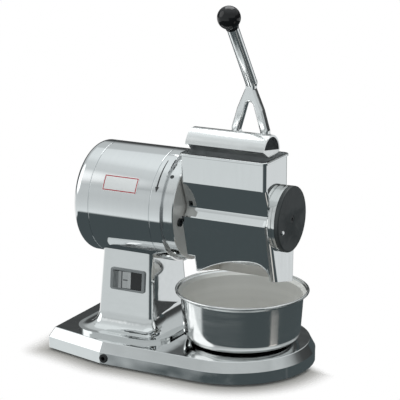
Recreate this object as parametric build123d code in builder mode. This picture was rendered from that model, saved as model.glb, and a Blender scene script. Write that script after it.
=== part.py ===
# Electric grater: motor on a cast column, a grating roller under a hopper, a lever presser and a bowl.
# Millimetres. X runs along the motor axis towards the hand wheel, Y to the back, Z up.
# The origin is on the floor under the middle of the base.

import os
from math import atan2, cos, radians, sin, sqrt

from build123d import *

os.makedirs("parts", exist_ok=True)

# Clearances
running_gap = 0.05        # radial, shafts and pins that turn
seat_gap = 0.05           # radial, pieces that are pushed or screwed together
moving_gap = 0.6          # between moving and fixed faces
rest_gap = 0.3            # under the bowl
end_gap = 1               # at the tips of screws and shafts
short_gap = 0.5           # between faces that are close but do not press
small_edge = 0.8          # rounding of small plastic and steel pieces

# Base casting, seen from above: straight left end, sides that flare out, round right end
base_length = 408
base_half_width = 128
left_half_width = 102
flare_length = 111
foot_height = 4
skirt_height = 17.8
bevel_height = 15.4
bevel_inset = 8.4
skirt_wall = 12
base_top_thickness = 5
cover_inset = 6
cover_thickness = 2.5
cover_recess = 3
base_edge_radius = 1.6
left_corner_radius = 4

left_end = -base_length / 2
right_end = base_length / 2
kink_x = left_end + flare_length
round_centre_x = right_end - base_half_width
base_bottom = foot_height
skirt_top = base_bottom + skirt_height
base_top = skirt_top + bevel_height
recess_top = base_bottom + cover_recess
cavity_top = base_top - base_top_thickness

# Feet and their screws
foot_radius = 13
foot_screw_radius = 2.5
foot_screw_length = 16
foot_boss_radius = 8
foot_head_depth = 2.2
foot_head_radius = 5
foot_head_length = 1.6
foot_edge_radius = 1
foot_inset_left = 28
foot_half_spacing_left = 74
foot_inset_right = 66
foot_half_spacing_right = 78
foot_spots = [
    (left_end + foot_inset_left, foot_half_spacing_left),
    (left_end + foot_inset_left, -foot_half_spacing_left),
    (right_end - foot_inset_right, foot_half_spacing_right),
    (right_end - foot_inset_right, -foot_half_spacing_right),
]

# Column between base and motor
column_offset = 117.5
column_length_low = 100
column_length_high = 89
column_depth_low = 130
column_depth_high = 103
column_edge_radius = 9
column_wall = 7
column_roof = 10
column_foot_length = 165
column_foot_depth = 196
column_foot_corner = 45
column_foot_edge = 4
column_flare = 28
column_bolt_radius = 3
column_bolt_spacing_x = 94
column_bolt_spacing_y = 144
column_bolt_grip = 8
column_bolt_head = 5.5
column_bolt_head_length = 4
cable_hole_radius = 14

column_x = left_end + column_offset

# Motor axis and casing
axis_above_base = 201.8
casing_radius = 88.6
casing_wall = 2.5
casing_length = 127
casing_front_offset = 79.5
casing_bolt_radius = 3
casing_bolt_head = 5
casing_bolt_head_length = 4
casing_bolt_spacing = 54
casing_bolt_reach = 3
cap_length = 31
cap_edge_radius = 14
cap_wall = 3
cap_spigot = 6
slot_count = 7
slot_pitch = 15
slot_height = 4

axis_height = base_top + axis_above_base
casing_front = column_x + casing_front_offset
casing_back = casing_front - casing_length
casing_bore = casing_radius - casing_wall
saddle_gap = 0.1
saddle_overlap = 5
column_top = axis_height - sqrt(casing_radius**2 - (column_depth_high / 2) ** 2) + saddle_overlap
column_slope = atan2((column_depth_low - column_depth_high) / 2, column_top - base_top)

# Motor inside the casing
shield_thickness = 10
stator_gap_front = 16
stator_length = 65
stator_radius = 64
stator_bore = 36.6
clamp_ring_outer = 66
clamp_ring_inner = 56
rotor_radius = 36
winding_length = 12
winding_outer = 54
winding_inner = 40
winding_edge = 3
through_bolt_radius = 2.5
through_bolt_circle = 60
through_bolt_angles = (45, 135, 225, 315)
through_bolt_head = 4.5
through_bolt_head_length = 4
through_bolt_reach = 8
shaft_radius_rotor = 11
shaft_radius_front = 10
shaft_radius_rear = 7.5
shaft_radius_roller = 9
shaft_clearance = 2
shaft_step = 3
front_bearing_outer = 23.5
front_bearing_width = 14
rear_bearing_outer = 17.5
rear_bearing_width = 11
rear_hub_radius = 24
rear_hub_lip = 2
front_race = 3.4
rear_race = 2.5
bearing_ball_count = 8
fan_radius = 66
fan_hub_radius = 15
fan_width = 14
fan_plate = 2.5
fan_blade_count = 8
fan_gap = 22
blade_thickness = 2
blade_tip_margin = 4
shaft_tail_length = 4
rear_plate_thickness = 6

shield_back = casing_front - shield_thickness
stator_front = shield_back - stator_gap_front
stator_back = stator_front - stator_length
rear_plate_front = stator_back - stator_gap_front
rear_plate_back = rear_plate_front - rear_plate_thickness
front_bearing_start = shield_back + end_gap
rear_bearing_start = rear_plate_back
fan_start = rear_plate_back - fan_gap
shaft_tail = fan_start - shaft_tail_length

# Grater head: flange ring, neck, roller housing and chute
ring_radius = 83
ring_length = 19.2
ring_edge = 1.2
spigot_radius = 74
spigot_length = 12
neck_radius = 38
neck_length = 0.8
head_length = 144
housing_wall = 4
housing_front = 52.5      # front edge of the seat, from the axis
housing_drop = 3          # seat of the hopper below the axis
chute_front_low = 27
chute_back_high = 47
chute_back_low = 44
chute_front_bottom = 95   # below the axis
chute_back_bottom = 112
chute_setback = 12
chute_step = 69
arch_height = 29
arch_left_margin = 4
arch_right_margin = 6.5
arch_peak_share = 0.8
housing_corner = 13
housing_edge_radius = 3.5
seal_radius = 16
seal_length = 7
head_bolt_radius = 4
head_bolt_head = 6.5
head_bolt_head_length = 3
head_bolt_circle = 62
head_bolt_angles = (35, 190, 350)
head_bolt_depth = 14
rim_screw_radius = 3.2
rim_screw_length = 14
rim_screw_angles = (45, 135, 225, 315)

flange_face = casing_front + ring_length
head_left = flange_face + neck_length
head_right = head_left + head_length
chute_left = head_left + chute_setback
hopper_seat = axis_height - housing_drop

# Hopper of folded sheet on top of the housing
sheet = 2.5
hopper_front = 60.5
hopper_back = 20.5
hopper_height = 97.7      # rim above the axis
hopper_bend = 52
waist_depth = 43
waist_height = 9
back_bend = 34
hopper_lip = 2
hopper_corner = 8
bend_radius = 10
waist_radius = 7.5
rim_width = 2
rim_height = 3.6
rim_radius = 1.2
overcut = 20              # extra height that is trimmed off after rounding

hopper_top = axis_height + hopper_height
hopper_x = (head_left + head_right) / 2

# Roller, collar and hand wheel
roller_radius = 33
roller_wall = 2
roller_gap = 4
roller_hub = 8
collar_bore = 36
collar_radius = 51
collar_length = 10
collar_groove = 1.6
collar_groove_width = 2.4
collar_screw_radius = 2
collar_screw_circle = 43.5
collar_screw_head = 3.6
collar_screw_head_length = 3
collar_screw_angles = (100, 140, 235, 320)
wheel_radius = 51
wheel_thickness = 6.4
wheel_edge_radius = 2.4
drive_pin_radius = 2
drive_pin_margin = 3
wheel_screw_radius = 4
wheel_screw_head = 6.5
wheel_screw_head_length = 3.6
wheel_screw_depth = 22
wheel_screw_sink = 0.4
rivet_radius = 3.4
rivet_height = 2.5
rivet_shank = 3
rivet_shank_radius = 1.6
rivet_y = -36
rivet_z = -12.4

roller_start = head_left + housing_wall + end_gap
roller_end = head_right - roller_gap
collar_face = head_right + collar_length
wheel_start = collar_face + moving_gap
wheel_face = wheel_start + wheel_thickness
shaft_end = wheel_start - end_gap

# Lever hinge behind the hopper
hinge_y = 26
hinge_above_rim = 11.3
hinge_pin_radius = 5
hinge_eye_radius = 9
hinge_lug_width = 9
hinge_washer = 1.6
hinge_clip = 2
hinge_side_gap = 0.4
hinge_pin_overhang = 2
lug_drop = 42

hinge_z = hopper_top + hinge_above_rim

# Lever: a fork of two legs behind the hinge, a leaning rod and a ball
fork_half_spacing = 24.5
leg_width = 14
leg_thickness = 14
leg_edge_radius = 4.4
fork_bend_radius = 6
fork_set_back = 10
fork_straight = 15
fork_bow = 2.2
fork_crotch = 73
fork_shoulder = 78
fork_neck = 8.3
fork_top = 87.5
web_bottom = 5
web_top = 9
rod_radius = 9.5
rod_lean = 34.8
rod_length = 133
stub_radius = 5
stub_depth = 6
rod_ball_extra = 0.2
ball_radius = 17.8
ball_nut_radius = 10.3
ball_nut_length = 5

# Presser under the lever, drawn in its own tilted frame: reach forward from the hinge and height
presser_tilt = 15.7
presser_length = 131
presser_back = 23
presser_front = 79
presser_crown = 10
presser_chord = 12.4
presser_front_drop = 19
keel_reach = 53
keel_drop = 26
presser_back_height = 8
presser_lip = 3
presser_recess = 12
arm_top = 7.5
arm_bottom = 2.5
arm_reach = 36
presser_screw_radius = 2.5
presser_screw_head = 4.5
presser_screw_reach = 30
presser_screw_length = 20
presser_screw_head_length = 2.2

# Switch on the front of the column
switch_height = 83.8      # above the base top, along Z
switch_shift = 4.5
bezel_length = 62
bezel_height = 35
bezel_corner = 4
bezel_thickness = 3
window_length = 52
window_height = 28
switch_body_length = 56
switch_body_height = 32
switch_body_depth = 26
pocket_depth = 12
rocker_length = 49
rocker_height = 26.4
rocker_rise = 5
rocker_valley = 2
rocker_depth = 8
rocker_tilt = 7
rocker_pivot_depth = 3
rocker_pivot_radius = 1.5

# Cable gland in the front skirt
gland_offset = 118        # from the left end
gland_flange_radius = 7
gland_flange_length = 2
gland_radius = 4.4
gland_bore = 3.1
gland_nut_radius = 5.8
gland_nut_length = 4

# Inside the column
capacitor_radius = 20
capacitor_height = 66
capacitor_shift_x = 14
capacitor_shift_y = 30
capacitor_edge = 2
clip_wall = 1.6
clip_height = 12
clip_foot = 14
terminal_length = 44
terminal_depth = 18
terminal_height = 16
terminal_shift_y = -38
terminal_hole_radius = 2

# Bowl
bowl_shift = 5            # from the middle of the hopper
bowl_height = 81
bowl_bottom_radius = 76
bowl_corner_radius = 16
bowl_wall_top_radius = 96
bowl_rim_radius = 102.6
bowl_rim_flare = 7
bowl_wall = 1.6
bowl_bead_radius = 2.1

bowl_x = hopper_x + bowl_shift
bowl_z = base_top + rest_gap


def axis_plane(x):
    return Plane(origin=(x, 0, axis_height), x_dir=(0, 1, 0), z_dir=(1, 0, 0))


def side_plane(x):
    return Plane(origin=(x, 0, 0), x_dir=(0, 1, 0), z_dir=(1, 0, 0))


def hinge_plane(x):
    return Plane(origin=(x, hinge_y, hinge_z), x_dir=(0, 1, 0), z_dir=(1, 0, 0))


def presser_plane(x):
    tilt = radians(presser_tilt)
    return Plane(origin=(x, hinge_y, hinge_z), x_dir=(0, -cos(tilt), sin(tilt)), z_dir=(-1, 0, 0))


def axis_ring(start, end, outer, inner=0):
    with BuildPart() as ring:
        with BuildSketch(axis_plane(start)):
            Circle(outer)
            if inner > 0:
                Circle(inner, mode=Mode.SUBTRACT)
        extrude(amount=end - start)
    return ring.part


def base_outline(height, inset=0):
    with BuildSketch(Plane.XY.offset(height)) as outline:
        with BuildLine():
            Polyline(
                (round_centre_x, -base_half_width),
                (kink_x, -base_half_width),
                (left_end, -left_half_width),
                (left_end, left_half_width),
                (kink_x, base_half_width),
                (round_centre_x, base_half_width),
            )
            ThreePointArc(
                (round_centre_x, base_half_width),
                (right_end, 0),
                (round_centre_x, -base_half_width),
            )
        make_face()
        if inset > 0:
            offset(amount=-inset, kind=Kind.INTERSECTION, mode=Mode.REPLACE)
    return outline.sketch


# Base plate: hollow casting with a bevelled top and bosses for the foot screws
column_bolt_spots = [
    (column_x + side * column_bolt_spacing_x / 2, end * column_bolt_spacing_y / 2)
    for side in (-1, 1)
    for end in (-1, 1)
]
gland_x = left_end + gland_offset
gland_z = base_bottom + skirt_height / 2
gland_plane = Plane(origin=(gland_x, -base_half_width, gland_z), x_dir=(1, 0, 0), z_dir=(0, -1, 0))

with BuildPart() as base_plate:
    extrude(base_outline(base_bottom), amount=skirt_height)
    loft([base_outline(skirt_top), base_outline(base_top, bevel_inset)], ruled=True)
    left_corners = base_plate.edges().filter_by(
        lambda e: (e @ 0.5).X < left_end + bevel_inset and abs((e @ 1).Z - (e @ 0).Z) > 1
    )
    fillet(left_corners, left_corner_radius)
    fillet(base_plate.faces().sort_by(Axis.Z)[-1].edges(), base_edge_radius)
    extrude(base_outline(base_bottom, cover_inset), amount=cover_recess, mode=Mode.SUBTRACT)
    extrude(base_outline(recess_top, skirt_wall), amount=cavity_top - recess_top, mode=Mode.SUBTRACT)
    with BuildSketch(Plane.XY.offset(recess_top)):
        with Locations(*foot_spots):
            Circle(foot_boss_radius)
    extrude(amount=cavity_top - recess_top)
    with BuildSketch(Plane.XY.offset(recess_top)):
        with Locations(*foot_spots):
            Circle(foot_screw_radius + seat_gap)
    extrude(amount=foot_screw_length, mode=Mode.SUBTRACT)
    with BuildSketch(Plane.XY.offset(cavity_top)):
        with Locations((column_x, 0)):
            Circle(cable_hole_radius)
        with Locations(*column_bolt_spots):
            Circle(column_bolt_radius + seat_gap)
    extrude(amount=base_top_thickness, mode=Mode.SUBTRACT)
    with BuildSketch(gland_plane):
        Circle(gland_radius + seat_gap)
    extrude(amount=-skirt_wall, mode=Mode.SUBTRACT)
base_plate.part.label = "base_plate"
export_step(base_plate.part, "parts/base_plate.step")

# Bottom cover that closes the base
with BuildPart() as bottom_cover:
    extrude(base_outline(recess_top - cover_thickness, cover_inset + moving_gap), amount=cover_thickness)
    with BuildSketch(Plane.XY.offset(recess_top - cover_thickness)):
        with Locations(*foot_spots):
            Circle(foot_screw_radius + seat_gap)
    extrude(amount=cover_thickness, mode=Mode.SUBTRACT)
bottom_cover.part.label = "bottom_cover"
export_step(bottom_cover.part, "parts/bottom_cover.step")

# Rubber feet with a sunk hole for the screw head
foot_top = recess_top - cover_thickness
with BuildPart() as rubber_feet:
    with BuildSketch():
        with Locations(*foot_spots):
            Circle(foot_radius)
            Circle(foot_screw_radius + seat_gap, mode=Mode.SUBTRACT)
    extrude(amount=foot_top)
    with BuildSketch():
        with Locations(*foot_spots):
            Circle(foot_head_radius + seat_gap)
    extrude(amount=foot_head_depth, mode=Mode.SUBTRACT)
    lower_edges = rubber_feet.edges().group_by(Axis.Z)[0]
    fillet(lower_edges.filter_by(lambda e: e.radius > foot_radius - 1), foot_edge_radius)
rubber_feet.part.label = "rubber_feet"
export_step(rubber_feet.part, "parts/rubber_feet.step")

# Screws that hold the feet and the cover
with BuildPart() as foot_screws:
    with BuildSketch(Plane.XY.offset(foot_head_depth - foot_head_length)):
        with Locations(*foot_spots):
            Circle(foot_head_radius)
    extrude(amount=foot_head_length)
    with BuildSketch(Plane.XY.offset(foot_head_depth)):
        with Locations(*foot_spots):
            Circle(foot_screw_radius)
    extrude(amount=recess_top + foot_screw_length - end_gap - foot_head_depth)
foot_screws.part.label = "foot_screws"
export_step(foot_screws.part, "parts/foot_screws.step")

# Column: tapered hollow casting with a flared foot and a saddle for the motor
switch_z = base_top + switch_height
switch_y = -column_depth_low / 2 + switch_height * sin(column_slope) / cos(column_slope)
switch_plane = Plane(
    origin=(column_x + switch_shift, switch_y, switch_z),
    x_dir=(1, 0, 0),
    z_dir=(0, -cos(column_slope), sin(column_slope)),
)
column_cavity_top = axis_height - casing_radius - column_roof
cavity_taper = 2 * (column_cavity_top - base_top) * sin(column_slope) / cos(column_slope)
length_slope = (column_length_low - column_length_high) / (column_top - base_top)
cavity_shrink = (column_cavity_top - base_top) * length_slope


def roof_holes():
    with BuildSketch(Plane.XY.offset(column_cavity_top)) as holes:
        with Locations((column_x, 0)):
            Circle(cable_hole_radius)
            with GridLocations(casing_bolt_spacing, 0, 2, 1):
                Circle(casing_bolt_radius + seat_gap)
    return holes.sketch


with BuildPart() as column:
    with BuildSketch(Plane.XY.offset(base_top)):
        with Locations((column_x, 0)):
            RectangleRounded(column_length_low, column_depth_low, column_edge_radius)
    with BuildSketch(Plane.XY.offset(column_top)):
        with Locations((column_x, 0)):
            RectangleRounded(column_length_high, column_depth_high, column_edge_radius)
    loft()
    with BuildSketch(Plane.XY.offset(base_top)):
        with Locations((column_x, 0)):
            RectangleRounded(column_foot_length, column_foot_depth, column_foot_corner)
    extrude(amount=column_foot_edge)
    joint_height = base_top + column_foot_edge
    foot_joint = column.edges().filter_by_position(Axis.Z, joint_height - 0.01, joint_height + 0.01)
    inner_joint = foot_joint.filter_by(lambda e: abs((e @ 0.5).Y) < column_depth_low / 2 + 1)
    inner_joint = inner_joint.filter_by(lambda e: abs((e @ 0.5).X - column_x) < column_length_low / 2 + 1)
    fillet(inner_joint, column_flare)
    with BuildSketch(Plane.XY.offset(base_top)):
        with Locations((column_x, 0)):
            RectangleRounded(
                column_length_low - 2 * column_wall, column_depth_low - 2 * column_wall, column_edge_radius
            )
    with BuildSketch(Plane.XY.offset(column_cavity_top)):
        with Locations((column_x, 0)):
            RectangleRounded(
                column_length_low - 2 * column_wall - cavity_shrink,
                column_depth_low - 2 * column_wall - cavity_taper,
                column_edge_radius,
            )
    loft(mode=Mode.SUBTRACT)
    with BuildSketch(axis_plane(casing_back)):
        Circle(casing_radius + saddle_gap)
    extrude(amount=casing_length, mode=Mode.SUBTRACT)
    with BuildSketch(switch_plane):
        Rectangle(switch_body_length + 2 * seat_gap, switch_body_height + 2 * seat_gap)
    extrude(amount=-2 * column_wall, mode=Mode.SUBTRACT)
    with BuildSketch(Plane.XY.offset(base_top)):
        with Locations(*column_bolt_spots):
            Circle(column_bolt_radius + seat_gap)
    extrude(amount=column_bolt_grip + seat_gap, mode=Mode.SUBTRACT)
    extrude(roof_holes(), amount=column_roof, mode=Mode.SUBTRACT)
column.part.label = "column"
export_step(column.part, "parts/column.step")

# Bolts from under the base into the foot of the column
with BuildPart() as column_bolts:
    with BuildSketch(Plane.XY.offset(cavity_top - column_bolt_head_length)):
        with Locations(*column_bolt_spots):
            Circle(column_bolt_head)
    extrude(amount=column_bolt_head_length)
    with BuildSketch(Plane.XY.offset(cavity_top)):
        with Locations(*column_bolt_spots):
            Circle(column_bolt_radius)
    extrude(amount=base_top_thickness + column_bolt_grip)
column_bolts.part.label = "column_bolts"
export_step(column_bolts.part, "parts/column_bolts.step")

# Cable gland in the skirt and the nut behind it
with BuildPart() as cable_gland:
    with BuildSketch(gland_plane):
        Circle(gland_flange_radius)
    extrude(amount=gland_flange_length)
    fillet(cable_gland.edges().group_by(Axis.Y)[0], small_edge)
    with BuildSketch(gland_plane):
        Circle(gland_radius)
    extrude(amount=-(skirt_wall + gland_nut_length + end_gap))
    with BuildSketch(gland_plane.offset(gland_flange_length)):
        Circle(gland_bore)
    extrude(amount=-(gland_flange_length + skirt_wall + gland_nut_length + end_gap), mode=Mode.SUBTRACT)
cable_gland.part.label = "cable_gland"
export_step(cable_gland.part, "parts/cable_gland.step")

with BuildPart() as gland_nut:
    with BuildSketch(gland_plane.offset(-skirt_wall)):
        Circle(gland_nut_radius)
        Circle(gland_radius + seat_gap, mode=Mode.SUBTRACT)
    extrude(amount=-gland_nut_length)
gland_nut.part.label = "gland_nut"
export_step(gland_nut.part, "parts/gland_nut.step")

# Switch: frame, body with a pocket, and a V-shaped rocker lying with its right half pressed in
with BuildPart() as switch_bezel:
    with BuildSketch(switch_plane):
        RectangleRounded(bezel_length, bezel_height, bezel_corner)
        RectangleRounded(window_length, window_height, bezel_corner / 4, mode=Mode.SUBTRACT)
    extrude(amount=bezel_thickness)
    outer_rim = switch_bezel.faces().sort_by(Axis((0, 0, 0), switch_plane.z_dir))[-1].outer_wire().edges()
    fillet(outer_rim, bezel_thickness / 3)
switch_bezel.part.label = "switch_bezel"
export_step(switch_bezel.part, "parts/switch_bezel.step")

pivot_plane = switch_plane.offset(-rocker_pivot_depth)
up_face = (0, sin(column_slope), cos(column_slope))
with BuildPart() as switch_body:
    with BuildSketch(switch_plane):
        Rectangle(switch_body_length, switch_body_height)
    extrude(amount=-switch_body_depth)
    with BuildSketch(switch_plane):
        Rectangle(window_length, window_height)
    extrude(amount=-pocket_depth, mode=Mode.SUBTRACT)
    with BuildSketch(Plane(origin=pivot_plane.origin, x_dir=(1, 0, 0), z_dir=up_face)):
        Circle(rocker_pivot_radius + running_gap)
    extrude(amount=switch_body_height / 2, both=True, mode=Mode.SUBTRACT)
switch_body.part.label = "switch_body"
export_step(switch_body.part, "parts/switch_body.step")

turn = radians(rocker_tilt)
rocker_along = (cos(turn), sin(turn) * cos(column_slope), -sin(turn) * sin(column_slope))
rocker_plane = Plane(origin=pivot_plane.origin, x_dir=rocker_along, z_dir=[-part for part in up_face])
with BuildPart() as switch_rocker:
    with BuildSketch(rocker_plane):
        with BuildLine():
            Polyline(
                (-rocker_length / 2, rocker_rise + rocker_pivot_depth),
                (0, rocker_valley + rocker_pivot_depth),
                (rocker_length / 2, rocker_rise + rocker_pivot_depth),
                (rocker_length / 2, 0),
                (rocker_length / 5, -rocker_depth + rocker_valley),
                (-rocker_length / 5, -rocker_depth + rocker_valley),
                (-rocker_length / 2, 0),
                close=True,
            )
        make_face()
    extrude(amount=rocker_height / 2, both=True)
    fillet(switch_rocker.edges().filter_by(lambda e: abs(e.length - rocker_height) < 0.1), small_edge)
    with BuildSketch(rocker_plane):
        Circle(rocker_pivot_radius)
    extrude(amount=switch_body_height / 2 - short_gap, both=True)
switch_rocker.part.label = "switch_rocker"
export_step(switch_rocker.part, "parts/switch_rocker.step")

# Capacitor, its clip and the terminal block inside the column
capacitor_spot = (column_x + capacitor_shift_x, capacitor_shift_y)
with BuildPart() as capacitor:
    with BuildSketch(Plane.XY.offset(base_top)):
        with Locations(capacitor_spot):
            Circle(capacitor_radius)
    extrude(amount=capacitor_height)
    fillet(capacitor.edges().group_by(Axis.Z)[-1], capacitor_edge)
capacitor.part.label = "capacitor"
export_step(capacitor.part, "parts/capacitor.step")

with BuildPart() as capacitor_clip:
    with BuildSketch(Plane.XY.offset(base_top)):
        with Locations((capacitor_spot[0] - capacitor_radius - clip_foot / 2, capacitor_spot[1])):
            Rectangle(clip_foot + clip_wall, clip_height)
    extrude(amount=clip_wall)
    with BuildSketch(Plane.XY.offset(base_top)):
        with Locations(capacitor_spot):
            Circle(capacitor_radius + seat_gap + clip_wall)
    extrude(amount=clip_height)
    with BuildSketch(Plane.XY.offset(base_top)):
        with Locations(capacitor_spot):
            Circle(capacitor_radius + seat_gap)
    extrude(amount=clip_height, mode=Mode.SUBTRACT)
capacitor_clip.part.label = "capacitor_clip"
export_step(capacitor_clip.part, "parts/capacitor_clip.step")

with BuildPart() as terminal_block:
    with BuildSketch(Plane.XY.offset(base_top)):
        with Locations((column_x, terminal_shift_y)):
            Rectangle(terminal_length, terminal_depth)
    extrude(amount=terminal_height)
    with BuildSketch(Plane.XY.offset(base_top + terminal_height)):
        with Locations((column_x, terminal_shift_y)):
            with GridLocations(terminal_length / 4, terminal_depth / 2, 4, 2):
                Circle(terminal_hole_radius)
    extrude(amount=-terminal_height / 2, mode=Mode.SUBTRACT)
terminal_block.part.label = "terminal_block"
export_step(terminal_block.part, "parts/terminal_block.step")

# Motor casing tube and its domed rear cap with air slots
with BuildPart() as motor_casing:
    with BuildSketch(axis_plane(casing_back)):
        Circle(casing_radius)
        Circle(casing_bore, mode=Mode.SUBTRACT)
    extrude(amount=casing_length)
    extrude(roof_holes(), amount=casing_radius, mode=Mode.SUBTRACT)
motor_casing.part.label = "motor_casing"
export_step(motor_casing.part, "parts/motor_casing.step")

with BuildPart() as cap_hollow:
    with BuildSketch(axis_plane(casing_back + cap_spigot)):
        Circle(casing_bore - cap_wall)
    extrude(amount=-(cap_spigot + cap_length - cap_wall))
    fillet(cap_hollow.edges().group_by(Axis.X)[0], cap_edge_radius - cap_wall)

with BuildPart() as motor_end_cap:
    with BuildSketch(axis_plane(casing_back)):
        Circle(casing_radius)
    extrude(amount=-cap_length)
    fillet(motor_end_cap.edges().group_by(Axis.X)[0], cap_edge_radius)
    with BuildSketch(axis_plane(casing_back)):
        Circle(casing_bore - seat_gap)
    extrude(amount=cap_spigot)
    add(cap_hollow.part, mode=Mode.SUBTRACT)
    with BuildSketch(axis_plane(casing_back - cap_length)):
        with GridLocations(0, slot_pitch, 1, slot_count):
            SlotOverall(casing_radius, slot_height)
    extrude(amount=cap_length / 2, mode=Mode.SUBTRACT)
motor_end_cap.part.label = "motor_end_cap"
export_step(motor_end_cap.part, "parts/motor_end_cap.step")

# Bolts that hold the casing down on the column
with BuildPart() as casing_bolts:
    with BuildSketch(Plane.XY.offset(column_cavity_top - casing_bolt_head_length)):
        with Locations((column_x, 0)):
            with GridLocations(casing_bolt_spacing, 0, 2, 1):
                Circle(casing_bolt_head)
    extrude(amount=casing_bolt_head_length)
    with BuildSketch(Plane.XY.offset(column_cavity_top)):
        with Locations((column_x, 0)):
            with GridLocations(casing_bolt_spacing, 0, 2, 1):
                Circle(casing_bolt_radius)
    extrude(amount=column_roof + casing_wall + casing_bolt_reach)
casing_bolts.part.label = "casing_bolts"
export_step(casing_bolts.part, "parts/casing_bolts.step")


def bolt_circle(x, circle, angles, radius):
    with BuildSketch(axis_plane(x)) as spots:
        for angle in angles:
            with Locations((circle * cos(radians(angle)), circle * sin(radians(angle)))):
                Circle(radius)
    return spots.sketch


def rim_screw_plane(angle):
    outward = (0, cos(radians(angle)), sin(radians(angle)))
    spigot_middle = (casing_front + spigot_length / 2, 0, axis_height)
    return Plane(origin=spigot_middle, x_dir=(1, 0, 0), z_dir=outward).offset(ring_radius - rim_screw_length)


# Front motor shield: bearing seat, spigot for the head and clamp ring for the stator
front_bearing_end = front_bearing_start + front_bearing_width
spigot_face = casing_front + spigot_length
through_bolt_hole = through_bolt_radius + seat_gap
with BuildPart() as motor_flange:
    add(axis_ring(shield_back, casing_front, casing_bore - seat_gap))
    add(axis_ring(casing_front, spigot_face, spigot_radius))
    add(axis_ring(stator_front, shield_back, clamp_ring_outer, clamp_ring_inner))
    add(axis_ring(shield_back, front_bearing_end, front_bearing_outer + seat_gap), mode=Mode.SUBTRACT)
    add(axis_ring(shield_back, spigot_face, shaft_radius_front + shaft_clearance), mode=Mode.SUBTRACT)
    holes = bolt_circle(stator_front, through_bolt_circle, through_bolt_angles, through_bolt_hole)
    extrude(holes, amount=stator_gap_front + through_bolt_reach, mode=Mode.SUBTRACT)
    holes = bolt_circle(spigot_face, head_bolt_circle, head_bolt_angles, head_bolt_radius + seat_gap)
    extrude(holes, amount=-head_bolt_depth, mode=Mode.SUBTRACT)
    for angle in rim_screw_angles:
        with BuildSketch(rim_screw_plane(angle)):
            Circle(rim_screw_radius + seat_gap)
        extrude(amount=rim_screw_length, mode=Mode.SUBTRACT)
motor_flange.part.label = "motor_flange"
export_step(motor_flange.part, "parts/motor_flange.step")

# Rear motor shield
rear_bearing_end = rear_bearing_start + rear_bearing_width
rear_hub_end = rear_bearing_end + rear_hub_lip
with BuildPart() as rear_shield:
    add(axis_ring(rear_plate_back, rear_plate_front, clamp_ring_outer))
    add(axis_ring(rear_plate_front, stator_back, clamp_ring_outer, clamp_ring_inner))
    add(axis_ring(rear_plate_front, rear_hub_end, rear_hub_radius))
    add(axis_ring(rear_plate_back, rear_bearing_end, rear_bearing_outer + seat_gap), mode=Mode.SUBTRACT)
    add(axis_ring(rear_plate_back, rear_hub_end, shaft_radius_rotor + shaft_clearance), mode=Mode.SUBTRACT)
    holes = bolt_circle(rear_plate_back, through_bolt_circle, through_bolt_angles, through_bolt_hole)
    extrude(holes, amount=stator_back - rear_plate_back, mode=Mode.SUBTRACT)
rear_shield.part.label = "rear_shield"
export_step(rear_shield.part, "parts/rear_shield.step")

with BuildPart() as through_bolts:
    heads = bolt_circle(rear_plate_back, through_bolt_circle, through_bolt_angles, through_bolt_head)
    extrude(heads, amount=-through_bolt_head_length)
    shanks = bolt_circle(rear_plate_back, through_bolt_circle, through_bolt_angles, through_bolt_radius)
    extrude(shanks, amount=shield_back + through_bolt_reach - end_gap - rear_plate_back)
through_bolts.part.label = "through_bolts"
export_step(through_bolts.part, "parts/through_bolts.step")

# Stator, winding heads and rotor
with BuildPart() as stator_core:
    add(axis_ring(stator_back, stator_front, stator_radius, stator_bore))
    holes = bolt_circle(stator_back, through_bolt_circle, through_bolt_angles, through_bolt_hole)
    extrude(holes, amount=stator_length, mode=Mode.SUBTRACT)
stator_core.part.label = "stator_core"
export_step(stator_core.part, "parts/stator_core.step")

with BuildPart() as stator_winding:
    add(axis_ring(stator_front, stator_front + winding_length, winding_outer, winding_inner))
    add(axis_ring(stator_back - winding_length, stator_back, winding_outer, winding_inner))
    fillet(stator_winding.edges().group_by(Axis.X)[0], winding_edge)
    fillet(stator_winding.edges().group_by(Axis.X)[-1], winding_edge)
stator_winding.part.label = "stator_winding"
export_step(stator_winding.part, "parts/stator_winding.step")

with BuildPart() as rotor_core:
    add(axis_ring(stator_back, stator_front, rotor_radius, shaft_radius_rotor + seat_gap))
rotor_core.part.label = "rotor_core"
export_step(rotor_core.part, "parts/rotor_core.step")

# Shaft from the fan to the hand wheel
drive_pin_x = roller_start + roller_hub / 2
roller_shaft_start = flange_face + shaft_step
with BuildPart() as motor_shaft:
    add(axis_ring(shaft_tail, rear_bearing_end, shaft_radius_rear))
    add(axis_ring(rear_bearing_end, front_bearing_start, shaft_radius_rotor))
    add(axis_ring(front_bearing_start, roller_shaft_start, shaft_radius_front))
    add(axis_ring(roller_shaft_start, shaft_end, shaft_radius_roller))
    with BuildSketch(Plane(origin=(drive_pin_x, 0, axis_height), x_dir=(1, 0, 0), z_dir=(0, 0, 1))):
        Circle(drive_pin_radius + seat_gap)
    extrude(amount=shaft_radius_roller, both=True, mode=Mode.SUBTRACT)
    thread_start = shaft_end - wheel_screw_depth
    add(axis_ring(thread_start, shaft_end, wheel_screw_radius + seat_gap), mode=Mode.SUBTRACT)
motor_shaft.part.label = "motor_shaft"
export_step(motor_shaft.part, "parts/motor_shaft.step")


def bearing_balls(middle, outer, inner, race):
    ball = (outer - inner) / 2 - race - running_gap
    circle = (outer + inner) / 2
    with BuildPart() as balls:
        for number in range(bearing_ball_count):
            angle = radians(360 / bearing_ball_count * number)
            with Locations((middle, circle * cos(angle), axis_height + circle * sin(angle))):
                Sphere(ball)
    return balls.part


# Two ball bearings, each of an outer ring, balls and an inner ring
with BuildPart() as front_outer_ring:
    front_groove = front_bearing_outer - front_race
    add(axis_ring(front_bearing_start, front_bearing_end, front_bearing_outer, front_groove))
front_outer_ring.part.label = "front_outer_ring"
export_step(front_outer_ring.part, "parts/front_outer_ring.step")

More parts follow.
